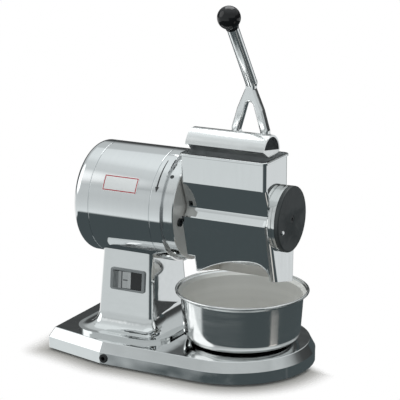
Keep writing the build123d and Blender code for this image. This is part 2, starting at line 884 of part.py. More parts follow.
with BuildPart() as front_balls:
    front_middle = (front_bearing_start + front_bearing_end) / 2
    add(bearing_balls(front_middle, front_bearing_outer, shaft_radius_front, front_race))
front_balls.part.label = "front_balls"
export_step(front_balls.part, "parts/front_balls.step")

with BuildPart() as front_inner_ring:
    front_inner = shaft_radius_front + seat_gap
    add(axis_ring(front_bearing_start, front_bearing_end, shaft_radius_front + front_race, front_inner))
front_inner_ring.part.label = "front_inner_ring"
export_step(front_inner_ring.part, "parts/front_inner_ring.step")

with BuildPart() as rear_outer_ring:
    add(axis_ring(rear_bearing_start, rear_bearing_end, rear_bearing_outer, rear_bearing_outer - rear_race))
rear_outer_ring.part.label = "rear_outer_ring"
export_step(rear_outer_ring.part, "parts/rear_outer_ring.step")

with BuildPart() as rear_balls:
    rear_middle = (rear_bearing_start + rear_bearing_end) / 2
    add(bearing_balls(rear_middle, rear_bearing_outer, shaft_radius_rear, rear_race))
rear_balls.part.label = "rear_balls"
export_step(rear_balls.part, "parts/rear_balls.step")

with BuildPart() as rear_inner_ring:
    rear_inner = shaft_radius_rear + seat_gap
    add(axis_ring(rear_bearing_start, rear_bearing_end, shaft_radius_rear + rear_race, rear_inner))
rear_inner_ring.part.label = "rear_inner_ring"
export_step(rear_inner_ring.part, "parts/rear_inner_ring.step")

# Cooling fan on the tail of the shaft
with BuildPart() as cooling_fan:
    fan_end = fan_start + fan_plate + fan_width
    add(axis_ring(fan_start, fan_start + fan_plate, fan_radius))
    add(axis_ring(fan_start, fan_end, fan_hub_radius))
    with BuildSketch(axis_plane(fan_start)):
        with PolarLocations((fan_radius - blade_tip_margin) / 2, fan_blade_count):
            Rectangle(fan_radius - blade_tip_margin, blade_thickness)
    extrude(amount=fan_plate + fan_width)
    add(axis_ring(fan_start, fan_end, shaft_radius_rear + seat_gap), mode=Mode.SUBTRACT)
cooling_fan.part.label = "cooling_fan"
export_step(cooling_fan.part, "parts/cooling_fan.step")


def housing_outline(x, inset, rise, drop):
    top = rise - housing_drop
    with BuildSketch(axis_plane(x)) as outline:
        with BuildLine():
            Polyline(
                (-housing_front + inset, top),
                (-chute_front_low + inset, -chute_front_bottom - drop),
                (chute_back_low - inset, -chute_back_bottom - drop),
                (chute_back_high - inset, top),
                close=True,
            )
        make_face()
    return outline.sketch


# Roller housing: flange ring, neck, a box with a sloped front round the roller and the chute below
socket_end = spigot_face + short_gap
shaft_hole = shaft_radius_front + short_gap
step_height = axis_height - chute_step
arch_bottom = axis_height - chute_front_bottom
arch_left = chute_left + arch_left_margin
arch_right = head_right - arch_right_margin
arch_peak = arch_left + arch_peak_share * (arch_right - arch_left)


def left_block(x, length, floor, inset, rise):
    with BuildPart() as block:
        extrude(housing_outline(x, inset, rise, 0), amount=length)
        with BuildSketch(Plane.XY.offset(floor)):
            with Locations((x, 0)):
                Rectangle(4 * chute_setback, 4 * housing_front)
        extrude(amount=-axis_height / 2, mode=Mode.SUBTRACT)
    return block.part


with BuildPart() as roller_housing:
    extrude(housing_outline(chute_left, 0, 0, 0), amount=head_right - chute_left)
    add(left_block(flange_face, neck_length + chute_setback, step_height, 0, 0))
    right_face = roller_housing.faces().sort_by(Axis.X)[-1]
    seat_margin = hopper_seat - 0.1
    right_edges = right_face.edges().filter_by(lambda e: (e @ 0.5).Z < seat_margin).sort_by(Axis.Y)
    fillet(right_edges[0], housing_corner)
    fillet(roller_housing.edges().sort_by_distance(right_edges[-1].center())[0], housing_edge_radius)
    hollow_left = head_left + housing_wall
    inner_floor = step_height + housing_wall
    add(left_block(hollow_left, chute_setback, inner_floor, housing_wall, housing_wall), mode=Mode.SUBTRACT)
    hollow_start = chute_left + housing_wall
    with BuildPart(mode=Mode.PRIVATE) as chute_hollow:
        hollow = housing_outline(hollow_start, housing_wall, housing_wall, housing_wall)
        extrude(hollow, amount=head_right - housing_wall - hollow_start)
        end_edges = chute_hollow.faces().sort_by(Axis.X)[-1].edges().sort_by(Axis.Y)
        fillet(end_edges[0], housing_corner - housing_wall)
    add(chute_hollow.part, mode=Mode.SUBTRACT)
    with BuildSketch(Plane.XZ.offset(housing_front)):
        with BuildLine():
            TangentArc((arch_peak, arch_bottom + arch_height), (arch_left, arch_bottom), tangent=(-1, 0))
            TangentArc((arch_peak, arch_bottom + arch_height), (arch_right, arch_bottom), tangent=(1, 0))
            Polyline(
                (arch_left, arch_bottom),
                (arch_left, arch_bottom - housing_wall),
                (arch_right, arch_bottom - housing_wall),
                (arch_right, arch_bottom),
            )
        make_face()
    extrude(amount=-housing_front, mode=Mode.SUBTRACT)
    with BuildPart(mode=Mode.PRIVATE) as flange_ring:
        add(axis_ring(casing_front, flange_face, ring_radius))
        chamfer(flange_ring.faces().sort_by(Axis.X)[-1].edges(), ring_edge)
    add(flange_ring.part)
    add(axis_ring(flange_face, head_left, neck_radius))
    add(axis_ring(casing_front, socket_end, spigot_radius + seat_gap), mode=Mode.SUBTRACT)
    add(axis_ring(socket_end, socket_end + seal_length, seal_radius + seat_gap), mode=Mode.SUBTRACT)
    add(axis_ring(socket_end, roller_start, shaft_hole), mode=Mode.SUBTRACT)
    add(axis_ring(head_right - 2 * housing_wall, head_right, collar_bore), mode=Mode.SUBTRACT)
    holes = bolt_circle(socket_end, head_bolt_circle, head_bolt_angles, head_bolt_radius + seat_gap)
    extrude(holes, amount=flange_face - socket_end, mode=Mode.SUBTRACT)
    holes = bolt_circle(head_right, collar_screw_circle, collar_screw_angles, collar_screw_radius + seat_gap)
    extrude(holes, amount=-housing_wall, mode=Mode.SUBTRACT)
    for angle in rim_screw_angles:
        with BuildSketch(rim_screw_plane(angle)):
            Circle(rim_screw_radius + seat_gap)
        extrude(amount=rim_screw_length, mode=Mode.SUBTRACT)
roller_housing.part.label = "roller_housing"
export_step(roller_housing.part, "parts/roller_housing.step")

# Screws of the head: three on the flange face, four round the rim
with BuildPart() as head_bolts:
    heads = bolt_circle(flange_face, head_bolt_circle, head_bolt_angles, head_bolt_head)
    extrude(heads, amount=head_bolt_head_length)
    head_face = flange_face + head_bolt_head_length
    sockets = bolt_circle(head_face, head_bolt_circle, head_bolt_angles, head_bolt_radius)
    extrude(sockets, amount=-head_bolt_head_length / 2, mode=Mode.SUBTRACT)
    shanks = bolt_circle(flange_face, head_bolt_circle, head_bolt_angles, head_bolt_radius)
    extrude(shanks, amount=-(flange_face - spigot_face + head_bolt_depth - end_gap))
head_bolts.part.label = "head_bolts"
export_step(head_bolts.part, "parts/head_bolts.step")

with BuildPart() as rim_screws:
    for angle in rim_screw_angles:
        with BuildSketch(rim_screw_plane(angle)):
            Circle(rim_screw_radius)
        extrude(amount=rim_screw_length - short_gap)
rim_screws.part.label = "rim_screws"
export_step(rim_screws.part, "parts/rim_screws.step")

with BuildPart() as shaft_seal:
    seal_end = socket_end + seal_length - short_gap
    add(axis_ring(socket_end, seal_end, seal_radius, shaft_radius_front + running_gap))
shaft_seal.part.label = "shaft_seal"
export_step(shaft_seal.part, "parts/shaft_seal.step")


def hopper_outline(x, inset):
    with BuildSketch(axis_plane(x)) as outline:
        with BuildLine():
            Polyline(
                (-hopper_front, hopper_height + overcut),
                (-hopper_front, hopper_bend),
                (-waist_depth, waist_height),
                (-housing_front, hopper_lip - housing_drop),
                (-housing_front, -housing_drop - overcut),
                (chute_back_high, -housing_drop - overcut),
                (chute_back_high, hopper_lip - housing_drop),
                (hopper_back, back_bend),
                (hopper_back, hopper_height + overcut),
                close=True,
            )
        make_face()
        bends = ((hopper_bend, bend_radius), (back_bend, bend_radius), (waist_height, waist_radius))
        for level, radius in bends:
            fillet(outline.vertices().filter_by_position(Axis.Y, level - 1, level + 1), radius)
        if inset > 0:
            offset(amount=-inset, kind=Kind.INTERSECTION, mode=Mode.REPLACE)
    return outline.sketch


def side_edges(block):
    ends = block.faces().sort_by(Axis.X)[0].edges() + block.faces().sort_by(Axis.X)[-1].edges()
    return ends.filter_by(lambda e: abs((e @ 1).Z - (e @ 0).Z) > 0.1)


# Hopper: folded sheet box with a sloped front, a rolled rim and two hinge lugs at the back
fork_outer = fork_half_spacing + leg_width / 2
fork_inner = fork_half_spacing - leg_width / 2
lug_inner = fork_outer + hinge_washer + hinge_side_gap
lug_starts = (hopper_x - lug_inner - hinge_lug_width, hopper_x + lug_inner)
hopper_depth = hopper_front + hopper_back
hopper_y = (hopper_back - hopper_front) / 2


def hopper_block(inset):
    with BuildPart() as block:
        extrude(hopper_outline(head_left + inset, inset), amount=head_length - 2 * inset)
        fillet(side_edges(block), hopper_corner - inset)
    return block.part


with BuildPart() as hopper:
    add(hopper_block(0))
    for level, depth in ((hopper_seat, -2 * overcut), (hopper_top, 2 * overcut)):
        with BuildSketch(Plane.XY.offset(level)):
            with Locations((hopper_x, 0)):
                Rectangle(2 * head_length, 2 * head_length)
        extrude(amount=depth, mode=Mode.SUBTRACT)
    with BuildSketch(Plane.XY.offset(hopper_top - rim_height)):
        with Locations((hopper_x, hopper_y)):
            RectangleRounded(
                head_length + 2 * rim_width, hopper_depth + 2 * rim_width, hopper_corner + rim_width
            )
    extrude(amount=rim_height)
    top_edges = hopper.faces().sort_by(Axis.Z)[-1].edges()
    fillet(top_edges, rim_radius)
    for start in lug_starts:
        with BuildSketch(side_plane(start)):
            with BuildLine():
                Polyline(
                    (hopper_back, hopper_top - rim_height),
                    (hinge_y - hinge_eye_radius, hinge_z),
                    (hinge_y + hinge_eye_radius, hinge_z),
                    (hopper_back - sheet / 2, hinge_z - lug_drop),
                    close=True,
                )
            make_face()
            with Locations((hinge_y, hinge_z)):
                Circle(hinge_eye_radius)
        extrude(amount=hinge_lug_width)
    add(hopper_block(sheet), mode=Mode.SUBTRACT)
    for start in lug_starts:
        with BuildSketch(hinge_plane(start)):
            Circle(hinge_pin_radius + seat_gap)
        extrude(amount=hinge_lug_width, mode=Mode.SUBTRACT)
    add(axis_ring(head_left, head_left + 2 * sheet, shaft_hole), mode=Mode.SUBTRACT)
    add(axis_ring(head_right - 2 * sheet, head_right, collar_bore), mode=Mode.SUBTRACT)
    holes = bolt_circle(head_right, collar_screw_circle, collar_screw_angles, collar_screw_radius + seat_gap)
    extrude(holes, amount=-sheet, mode=Mode.SUBTRACT)
hopper.part.label = "hopper"
export_step(hopper.part, "parts/hopper.step")

# Collar at the open end of the roller, with a groove round it
with BuildPart() as roller_collar:
    add(axis_ring(head_right, collar_face, collar_radius, collar_bore))
    groove_start = head_right + (collar_length - collar_groove_width) / 2
    groove_end = groove_start + collar_groove_width
    add(
        axis_ring(groove_start, groove_end, collar_radius + 1, collar_radius - collar_groove),
        mode=Mode.SUBTRACT,
    )
    holes = bolt_circle(head_right, collar_screw_circle, collar_screw_angles, collar_screw_radius + seat_gap)
    extrude(holes, amount=collar_length, mode=Mode.SUBTRACT)
    holes = bolt_circle(collar_face, collar_screw_circle, collar_screw_angles, collar_screw_head + seat_gap)
    extrude(holes, amount=-collar_screw_head_length, mode=Mode.SUBTRACT)
roller_collar.part.label = "roller_collar"
export_step(roller_collar.part, "parts/roller_collar.step")

with BuildPart() as collar_screws:
    heads = bolt_circle(collar_face, collar_screw_circle, collar_screw_angles, collar_screw_head)
    extrude(heads, amount=-collar_screw_head_length)
    shank_start = collar_face - collar_screw_head_length
    shanks = bolt_circle(shank_start, collar_screw_circle, collar_screw_angles, collar_screw_radius)
    extrude(shanks, amount=-(shank_start - head_right + sheet))
collar_screws.part.label = "collar_screws"
export_step(collar_screws.part, "parts/collar_screws.step")

# Grating roller: tube, two hubs and the pin that drives it
with BuildPart() as roller_drum:
    add(axis_ring(roller_start, roller_end, roller_radius, roller_radius - roller_wall))
roller_drum.part.label = "roller_drum"
export_step(roller_drum.part, "parts/roller_drum.step")

hub_radius = roller_radius - roller_wall - seat_gap
pin_half_length = hub_radius - drive_pin_margin
pin_plane = Plane(origin=(drive_pin_x, 0, axis_height), x_dir=(1, 0, 0), z_dir=(0, 0, 1))
with BuildPart() as roller_hubs:
    add(axis_ring(roller_start, roller_start + roller_hub, hub_radius, shaft_radius_roller + seat_gap))
    with BuildSketch(pin_plane):
        Circle(drive_pin_radius + seat_gap)
    extrude(amount=pin_half_length, both=True, mode=Mode.SUBTRACT)
    add(axis_ring(roller_end - roller_hub, roller_end, hub_radius, shaft_radius_roller + seat_gap))
roller_hubs.part.label = "roller_hubs"
export_step(roller_hubs.part, "parts/roller_hubs.step")

with BuildPart() as drive_pin:
    with BuildSketch(pin_plane):
        Circle(drive_pin_radius)
    extrude(amount=pin_half_length, both=True)
drive_pin.part.label = "drive_pin"
export_step(drive_pin.part, "parts/drive_pin.step")

# Hand wheel on the shaft end: disc, hub inside the collar, screw and rivet
wheel_hub_start = roller_end + short_gap
wheel_hub_radius = collar_bore - moving_gap
rivet_spot = Plane(origin=(wheel_face, rivet_y, axis_height + rivet_z), x_dir=(0, 1, 0), z_dir=(1, 0, 0))
with BuildPart() as hand_wheel:
    add(axis_ring(wheel_start, wheel_face, wheel_radius))
    fillet(hand_wheel.edges().group_by(Axis.X)[-1], wheel_edge_radius)
    add(axis_ring(wheel_hub_start, wheel_start, wheel_hub_radius))
    add(axis_ring(wheel_hub_start, shaft_end, shaft_radius_roller + seat_gap), mode=Mode.SUBTRACT)
    add(axis_ring(shaft_end, wheel_face, wheel_screw_radius + seat_gap), mode=Mode.SUBTRACT)
    add(
        axis_ring(wheel_face - wheel_screw_head_length, wheel_face, wheel_screw_head + seat_gap),
        mode=Mode.SUBTRACT,
    )
    with BuildSketch(rivet_spot):
        Circle(rivet_shank_radius + seat_gap)
    extrude(amount=-rivet_shank, mode=Mode.SUBTRACT)
hand_wheel.part.label = "hand_wheel"
export_step(hand_wheel.part, "parts/hand_wheel.step")

with BuildPart() as wheel_screw:
    screw_face = wheel_face - wheel_screw_sink
    add(axis_ring(wheel_face - wheel_screw_head_length, screw_face, wheel_screw_head))
    wheel_screw_start = shaft_end - wheel_screw_depth + end_gap
    add(axis_ring(wheel_screw_start, wheel_face - wheel_screw_head_length, wheel_screw_radius))
    with BuildSketch(axis_plane(screw_face)):
        RegularPolygon(wheel_screw_radius - 1, 6)
    extrude(amount=-wheel_screw_head_length / 2, mode=Mode.SUBTRACT)
wheel_screw.part.label = "wheel_screw"
export_step(wheel_screw.part, "parts/wheel_screw.step")

with BuildPart() as wheel_rivet:
    with BuildSketch(rivet_spot):
        Circle(rivet_radius)
    extrude(amount=rivet_height)
    fillet(wheel_rivet.edges().group_by(Axis.X)[-1], rivet_height / 2)
    with BuildSketch(rivet_spot):
        Circle(rivet_shank_radius)
    extrude(amount=-rivet_shank)
wheel_rivet.part.label = "wheel_rivet"
export_step(wheel_rivet.part, "parts/wheel_rivet.step")

# Hinge pin with its clips and washers
pin_start = lug_starts[0] - hinge_clip - hinge_pin_overhang
pin_end = lug_starts[1] + hinge_lug_width + hinge_clip + hinge_pin_overhang
with BuildPart() as hinge_pin:
    with BuildSketch(hinge_plane(pin_start)):
        Circle(hinge_pin_radius)
    extrude(amount=pin_end - pin_start)
    chamfer(hinge_pin.edges().group_by(Axis.X)[0] + hinge_pin.edges().group_by(Axis.X)[-1], small_edge)
hinge_pin.part.label = "hinge_pin"
export_step(hinge_pin.part, "parts/hinge_pin.step")


def hinge_rings(starts, width):
    with BuildPart() as rings:
        for start in starts:
            with BuildSketch(hinge_plane(start)):
                Circle(hinge_eye_radius - end_gap)
                Circle(hinge_pin_radius + seat_gap, mode=Mode.SUBTRACT)
            extrude(amount=width)
    return rings.part


with BuildPart() as hinge_clips:
    add(hinge_rings((lug_starts[0] - hinge_clip, lug_starts[1] + hinge_lug_width), hinge_clip))
hinge_clips.part.label = "hinge_clips"
export_step(hinge_clips.part, "parts/hinge_clips.step")

with BuildPart() as hinge_washers:
    add(hinge_rings((lug_starts[0] + hinge_lug_width, lug_starts[1] - hinge_washer), hinge_washer))
hinge_washers.part.label = "hinge_washers"
export_step(hinge_washers.part, "parts/hinge_washers.step")

# Presser: a bar with a rounded top, a keel below and hollow ends
presser_end = hopper_x + presser_length / 2
presser_start = presser_end - presser_length


def presser_screw_plane(side, height):
    tilt = radians(presser_tilt)
    along = (0, -cos(tilt), sin(tilt))
    up = (0, sin(tilt), cos(tilt))
    spot = [presser_screw_reach * a + height * u for a, u in zip(along, up)]
    x = hopper_x + side * fork_half_spacing
    return Plane(origin=(x, hinge_y + spot[1], hinge_z + spot[2]), x_dir=(1, 0, 0), z_dir=up)


def presser_crown_face(x, inset):
    with BuildSketch(presser_plane(x)) as crown:
        with BuildLine():
            ThreePointArc(
                (presser_back, -presser_back_height),
                ((presser_back + presser_front) / 2, presser_crown),
                (presser_front, -presser_front_drop),
            )
            Polyline(
                (presser_front, -presser_front_drop),
                (presser_back, -presser_chord),
                (presser_back, -presser_back_height),
            )
        make_face()
        if inset > 0:
            offset(amount=-inset, mode=Mode.REPLACE)
    return crown.sketch


with BuildPart() as presser:
    extrude(presser_crown_face(presser_end, 0), amount=presser_length)
    with BuildSketch(presser_plane(presser_end)):
        with BuildLine():
            Polyline(
                (presser_back, -presser_chord),
                (keel_reach, -keel_drop),
                (presser_front, -presser_front_drop),
                close=True,
            )
        make_face()
    extrude(amount=presser_length)
    extrude(presser_crown_face(presser_end, presser_lip), amount=presser_recess, mode=Mode.SUBTRACT)
    far_recess = presser_crown_face(presser_start + presser_recess, presser_lip)
    extrude(far_recess, amount=presser_recess, mode=Mode.SUBTRACT)
    for side in (-1, 1):
        with BuildSketch(presser_screw_plane(side, arm_top)):
            Circle(presser_screw_radius + seat_gap)
        extrude(amount=-presser_screw_length, mode=Mode.SUBTRACT)
presser.part.label = "presser"
export_step(presser.part, "parts/presser.step")

# Lever: eyes on the pin, arms over the presser, fork legs and the leaning rod
fork_y = hinge_y + fork_set_back
fork_plane = Plane(origin=(hopper_x, fork_y, hinge_z), x_dir=(1, 0, 0), z_dir=(0, -1, 0))
bow_x = (fork_outer + fork_neck) / 2 + fork_bow
bow_z = (fork_straight + fork_shoulder) / 2
rod_lean_angle = radians(rod_lean)
rod_plane = Plane(
    origin=(hopper_x, fork_y, hinge_z + fork_top),
    x_dir=(1, 0, 0),
    z_dir=(0, -sin(rod_lean_angle), cos(rod_lean_angle)),
)
nut_top = rod_length - sqrt(ball_radius**2 - ball_nut_radius**2) + short_gap
nut_bottom = nut_top - ball_nut_length
web_length = fork_set_back + leg_thickness / 2

with BuildPart() as lever_arm:
    with BuildSketch(fork_plane) as fork_face:
        with BuildLine():
            Polyline(
                (-fork_outer, 0),
                (-fork_outer, fork_straight),
                (-bow_x, bow_z),
                (-fork_neck, fork_shoulder),
                (-fork_neck, fork_top),
                (fork_neck, fork_top),
                (fork_neck, fork_shoulder),
                (bow_x, bow_z),
                (fork_outer, fork_straight),
                (fork_outer, 0),
                (fork_inner, 0),
                (fork_inner, fork_straight - 2),
                (0, fork_crotch),
                (-fork_inner, fork_straight - 2),
                (-fork_inner, 0),
                close=True,
            )
        make_face()
        bends = fork_face.vertices().filter_by_position(Axis.Y, 1, fork_top - 1)
        fillet(bends, fork_bend_radius)
    extrude(amount=leg_thickness / 2, both=True)
    long_edges = lever_arm.edges().filter_by(lambda e: abs((e @ 0.5 - e @ 0).dot(fork_plane.z_dir)) < 0.01)
    fillet(long_edges.filter_by(lambda e: (e @ 0.5).Z > hinge_z + 1), leg_edge_radius)
    for start in (hopper_x - fork_outer, hopper_x + fork_inner):
        with BuildSketch(hinge_plane(start)):
            Circle(hinge_eye_radius)
        extrude(amount=leg_width)
        with BuildSketch(hinge_plane(start)):
            with Locations((web_length / 2, (web_top - web_bottom) / 2)):
                Rectangle(web_length, web_top + web_bottom)
        extrude(amount=leg_width)
        with BuildSketch(presser_plane(start + leg_width)):
            with Locations((arm_reach / 2, (arm_top - arm_bottom) / 2)):
                Rectangle(arm_reach, arm_top + arm_bottom)
        extrude(amount=leg_width)
    with BuildSketch(rod_plane):
        Circle(rod_radius)
    extrude(amount=nut_bottom)
    with Locations(rod_plane.origin):
        Sphere(rod_radius + rod_ball_extra)
    with BuildSketch(rod_plane):
        Circle(stub_radius)
    extrude(amount=rod_length + stub_depth)
    add(presser.part, mode=Mode.SUBTRACT)
    with BuildSketch(hinge_plane(hopper_x)):
        Circle(hinge_pin_radius + 2 * running_gap)
    extrude(amount=fork_outer, both=True, mode=Mode.SUBTRACT)
    for side in (-1, 1):
        with BuildSketch(presser_screw_plane(side, arm_top)):
            Circle(presser_screw_radius + seat_gap)
        extrude(amount=-presser_screw_length, mode=Mode.SUBTRACT)
lever_arm.part.label = "lever_arm"
export_step(lever_arm.part, "parts/lever_arm.step")

with BuildPart() as presser_screws:
    for side in (-1, 1):
        with BuildSketch(presser_screw_plane(side, arm_top)):
            Circle(presser_screw_head)
        extrude(amount=presser_screw_head_length)
        with BuildSketch(presser_screw_plane(side, arm_top)):
            Circle(presser_screw_radius)
        extrude(amount=-(presser_screw_length - end_gap))
presser_screws.part.label = "presser_screws"
export_step(presser_screws.part, "parts/presser_screws.step")

# Ball knob and the nut under it
with BuildPart() as ball_knob:
    with Locations(rod_plane.offset(rod_length).origin):
        Sphere(ball_radius)
    with BuildSketch(rod_plane.offset(nut_top)):
        Circle(ball_radius)
    extrude(amount=-ball_radius, mode=Mode.SUBTRACT)
    with BuildSketch(rod_plane):
        Circle(stub_radius + seat_gap)
    extrude(amount=rod_length + stub_depth + seat_gap, mode=Mode.SUBTRACT)
ball_knob.part.label = "ball_knob"
export_step(ball_knob.part, "parts/ball_knob.step")

with BuildPart() as knob_nut:
    with BuildSketch(rod_plane.offset(nut_bottom)):
        Circle(ball_nut_radius)
        Circle(stub_radius + seat_gap, mode=Mode.SUBTRACT)
    extrude(amount=ball_nut_length)
knob_nut.part.label = "knob_nut"
export_step(knob_nut.part, "parts/knob_nut.step")


def bowl_profile(wall):
    corner = bowl_corner_radius
    wall_low = bowl_bottom_radius + corner - wall
    with BuildSketch(Plane(origin=(bowl_x, 0, bowl_z), x_dir=(1, 0, 0), z_dir=(0, -1, 0))) as profile:
        with BuildLine():
            bend = corner - wall
            ThreePointArc(
                (bowl_bottom_radius, wall),
                (bowl_bottom_radius + bend * sin(radians(45)), corner - bend * cos(radians(45))),
                (wall_low, corner),
            )
            Polyline(
                (wall_low, corner),
                (bowl_wall_top_radius - wall, bowl_lip_height),
                (bowl_rim_radius - wall, bowl_height - bowl_bead_radius),
                (bowl_rim_radius - wall, bowl_height + wall),
                (0, bowl_height + wall),
                (0, wall),
                (bowl_bottom_radius, wall),
            )
        make_face()
    return profile.sketch


# Bowl: turned sheet with a flared lip and a rolled bead
bowl_axis = Axis((bowl_x, 0, 0), (0, 0, 1))
bowl_lip_height = bowl_height - bowl_bead_radius - bowl_rim_flare
with BuildPart() as bowl:
    revolve(bowl_profile(0), bowl_axis)
    with BuildSketch(Plane.XY.offset(bowl_z + bowl_height - bowl_bead_radius)):
        with Locations((bowl_x, 0)):
            Rectangle(3 * bowl_rim_radius, 3 * bowl_rim_radius)
    extrude(amount=bowl_height, mode=Mode.SUBTRACT)
    with BuildSketch(Plane(origin=(bowl_x, 0, bowl_z), x_dir=(1, 0, 0), z_dir=(0, -1, 0))):
        with Locations((bowl_rim_radius, bowl_height - bowl_bead_radius)):
            Circle(bowl_bead_radius)
    revolve(axis=bowl_axis)
    revolve(bowl_profile(bowl_wall), bowl_axis, mode=Mode.SUBTRACT)
bowl.part.label = "bowl"
export_step(bowl.part, "parts/bowl.step")
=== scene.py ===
import math

import bpy
from mathutils import Matrix, Vector


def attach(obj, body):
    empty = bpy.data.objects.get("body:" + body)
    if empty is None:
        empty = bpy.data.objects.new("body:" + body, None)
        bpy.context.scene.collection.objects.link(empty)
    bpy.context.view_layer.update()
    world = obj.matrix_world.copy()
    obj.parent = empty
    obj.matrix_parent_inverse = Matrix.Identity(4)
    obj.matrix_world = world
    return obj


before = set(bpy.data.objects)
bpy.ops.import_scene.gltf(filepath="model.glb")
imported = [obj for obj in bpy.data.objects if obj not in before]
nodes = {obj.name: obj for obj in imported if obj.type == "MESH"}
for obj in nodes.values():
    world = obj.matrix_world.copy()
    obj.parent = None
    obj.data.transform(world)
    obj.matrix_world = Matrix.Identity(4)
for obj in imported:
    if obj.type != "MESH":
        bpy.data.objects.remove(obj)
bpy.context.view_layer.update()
axisHeight = 0.239  # of the motor, the roller and the hand wheel
print("frame loaded,", len(nodes), "nodes")

scene = bpy.context.scene
scene.view_settings.view_transform = "Standard"

# camera at the picture's angle
cameraSet = {
    "target": (0.01585, 0.0, 0.24986),
    "turn": 27.86,  # degrees round from the front
    "rise": 14.74,
    "distance": 2.6,
    "lens": 150.6,
    "sensor": 36,
    "clip": (0.1, 50),
}


def placeCamera(s):
    turn, rise = math.radians(s["turn"]), math.radians(s["rise"])
    back = Vector((math.sin(turn) * math.cos(rise), -math.cos(turn) * math.cos(rise),
                   math.sin(rise)))
    bpy.ops.object.camera_add(location=Vector(s["target"]) + back * s["distance"])
    cam = bpy.context.object
    cam.rotation_euler = (-back).to_track_quat("-Z", "Y").to_euler()
    cam.data.sensor_width = s["sensor"]
    cam.data.lens = s["lens"]
    cam.data.clip_start, cam.data.clip_end = s["clip"]
    scene.camera = cam


placeCamera(cameraSet)
print("camera placed")


# node helpers
def plug(tree, socket, value):
    if isinstance(value, bpy.types.NodeSocket):
        tree.links.new(value, socket)
    else:
        socket.default_value = value


def addNode(tree, kind, values=None, **settings):
    node = tree.nodes.new("ShaderNode" + kind)
    for key, value in settings.items():
        setattr(node, key, value)
    for key, value in (values or {}).items():
        plug(tree, node.inputs[key], value)
    return node


def calc(tree, operation, first, second=0.0, third=0.0):
    values = {0: first, 1: second, 2: third}
    return addNode(tree, "Math", values, operation=operation).outputs[0]


def both(tree, first, second):  # masks: 1 where both are 1
    return calc(tree, "MULTIPLY", first, second)


def above(tree, value, limit):
    return calc(tree, "GREATER_THAN", value, limit)


def below(tree, value, limit):
    return calc(tree, "LESS_THAN", value, limit)


def within(tree, value, limits):
    return both(tree, above(tree, value, limits[0]), below(tree, value, limits[1]))


def vectorCalc(tree, operation, first, second=(0, 0, 0)):
    node = addNode(tree, "VectorMath", {0: first, 1: second}, operation=operation)
    return node.outputs["Value" if operation in ("DOT_PRODUCT", "LENGTH") else "Vector"]


def axes(tree, vector):
    return addNode(tree, "SeparateXYZ", {"Vector": vector}).outputs


def coordinate(tree, kind):
    return addNode(tree, "TexCoord").outputs[kind]


def ease(tree, value, low, high, start=0.0, end=1.0, kind="SMOOTHSTEP"):
    values = {"Value": value, "From Min": low, "From Max": high, "To Min": start, "To Max": end}
    return addNode(tree, "MapRange", values, interpolation_type=kind).outputs["Result"]


def noise(tree, place, scale, detail, roughness=0.5, swirl=0.0):
    values = {"Vector": place, "Scale": scale, "Detail": detail, "Roughness": roughness,
              "Distortion": swirl}
    return addNode(tree, "TexNoise", values).outputs["Fac"]


def turnedRings(tree, radius, scale, detail):
    values = {"W": calc(tree, "MULTIPLY", radius, scale), "Scale": 1.0, "Detail": detail}
    return addNode(tree, "TexNoise", values, noise_dimensions="1D").outputs["Fac"]


def bump(tree, height, depth, normal=None):
    values = {"Strength": 1.0, "Distance": depth, "Height": height}
    if normal is not None:
        values["Normal"] = normal
    return addNode(tree, "Bump", values).outputs["Normal"]


def ramp(tree, factor, stops, mode="LINEAR"):
    node = addNode(tree, "ValToRGB", {"Fac": factor})
    bar = node.color_ramp
    bar.interpolation = mode
    while len(bar.elements) < len(stops):
        bar.elements.new(0.5)
    for element, (place, colour) in zip(bar.elements, stops):
        element.position = place
        element.color = (*colour, 1.0)
    return node.outputs["Color"]


def blendColour(tree, factor, first, second, mode="MIX"):
    node = addNode(tree, "Mix", {"Factor": factor}, data_type="RGBA", blend_type=mode)
    for socket, value in ((node.inputs[6], first), (node.inputs[7], second)):  # its two colours
        plug(tree, socket, value if isinstance(value, bpy.types.NodeSocket) else (*value, 1.0))
    return node.outputs[2]


def emptyMaterial(name):
    mat = bpy.data.materials.new(name)
    mat.use_nodes = True
    mat.node_tree.nodes.clear()
    return mat, mat.node_tree, addNode(mat.node_tree, "OutputMaterial")


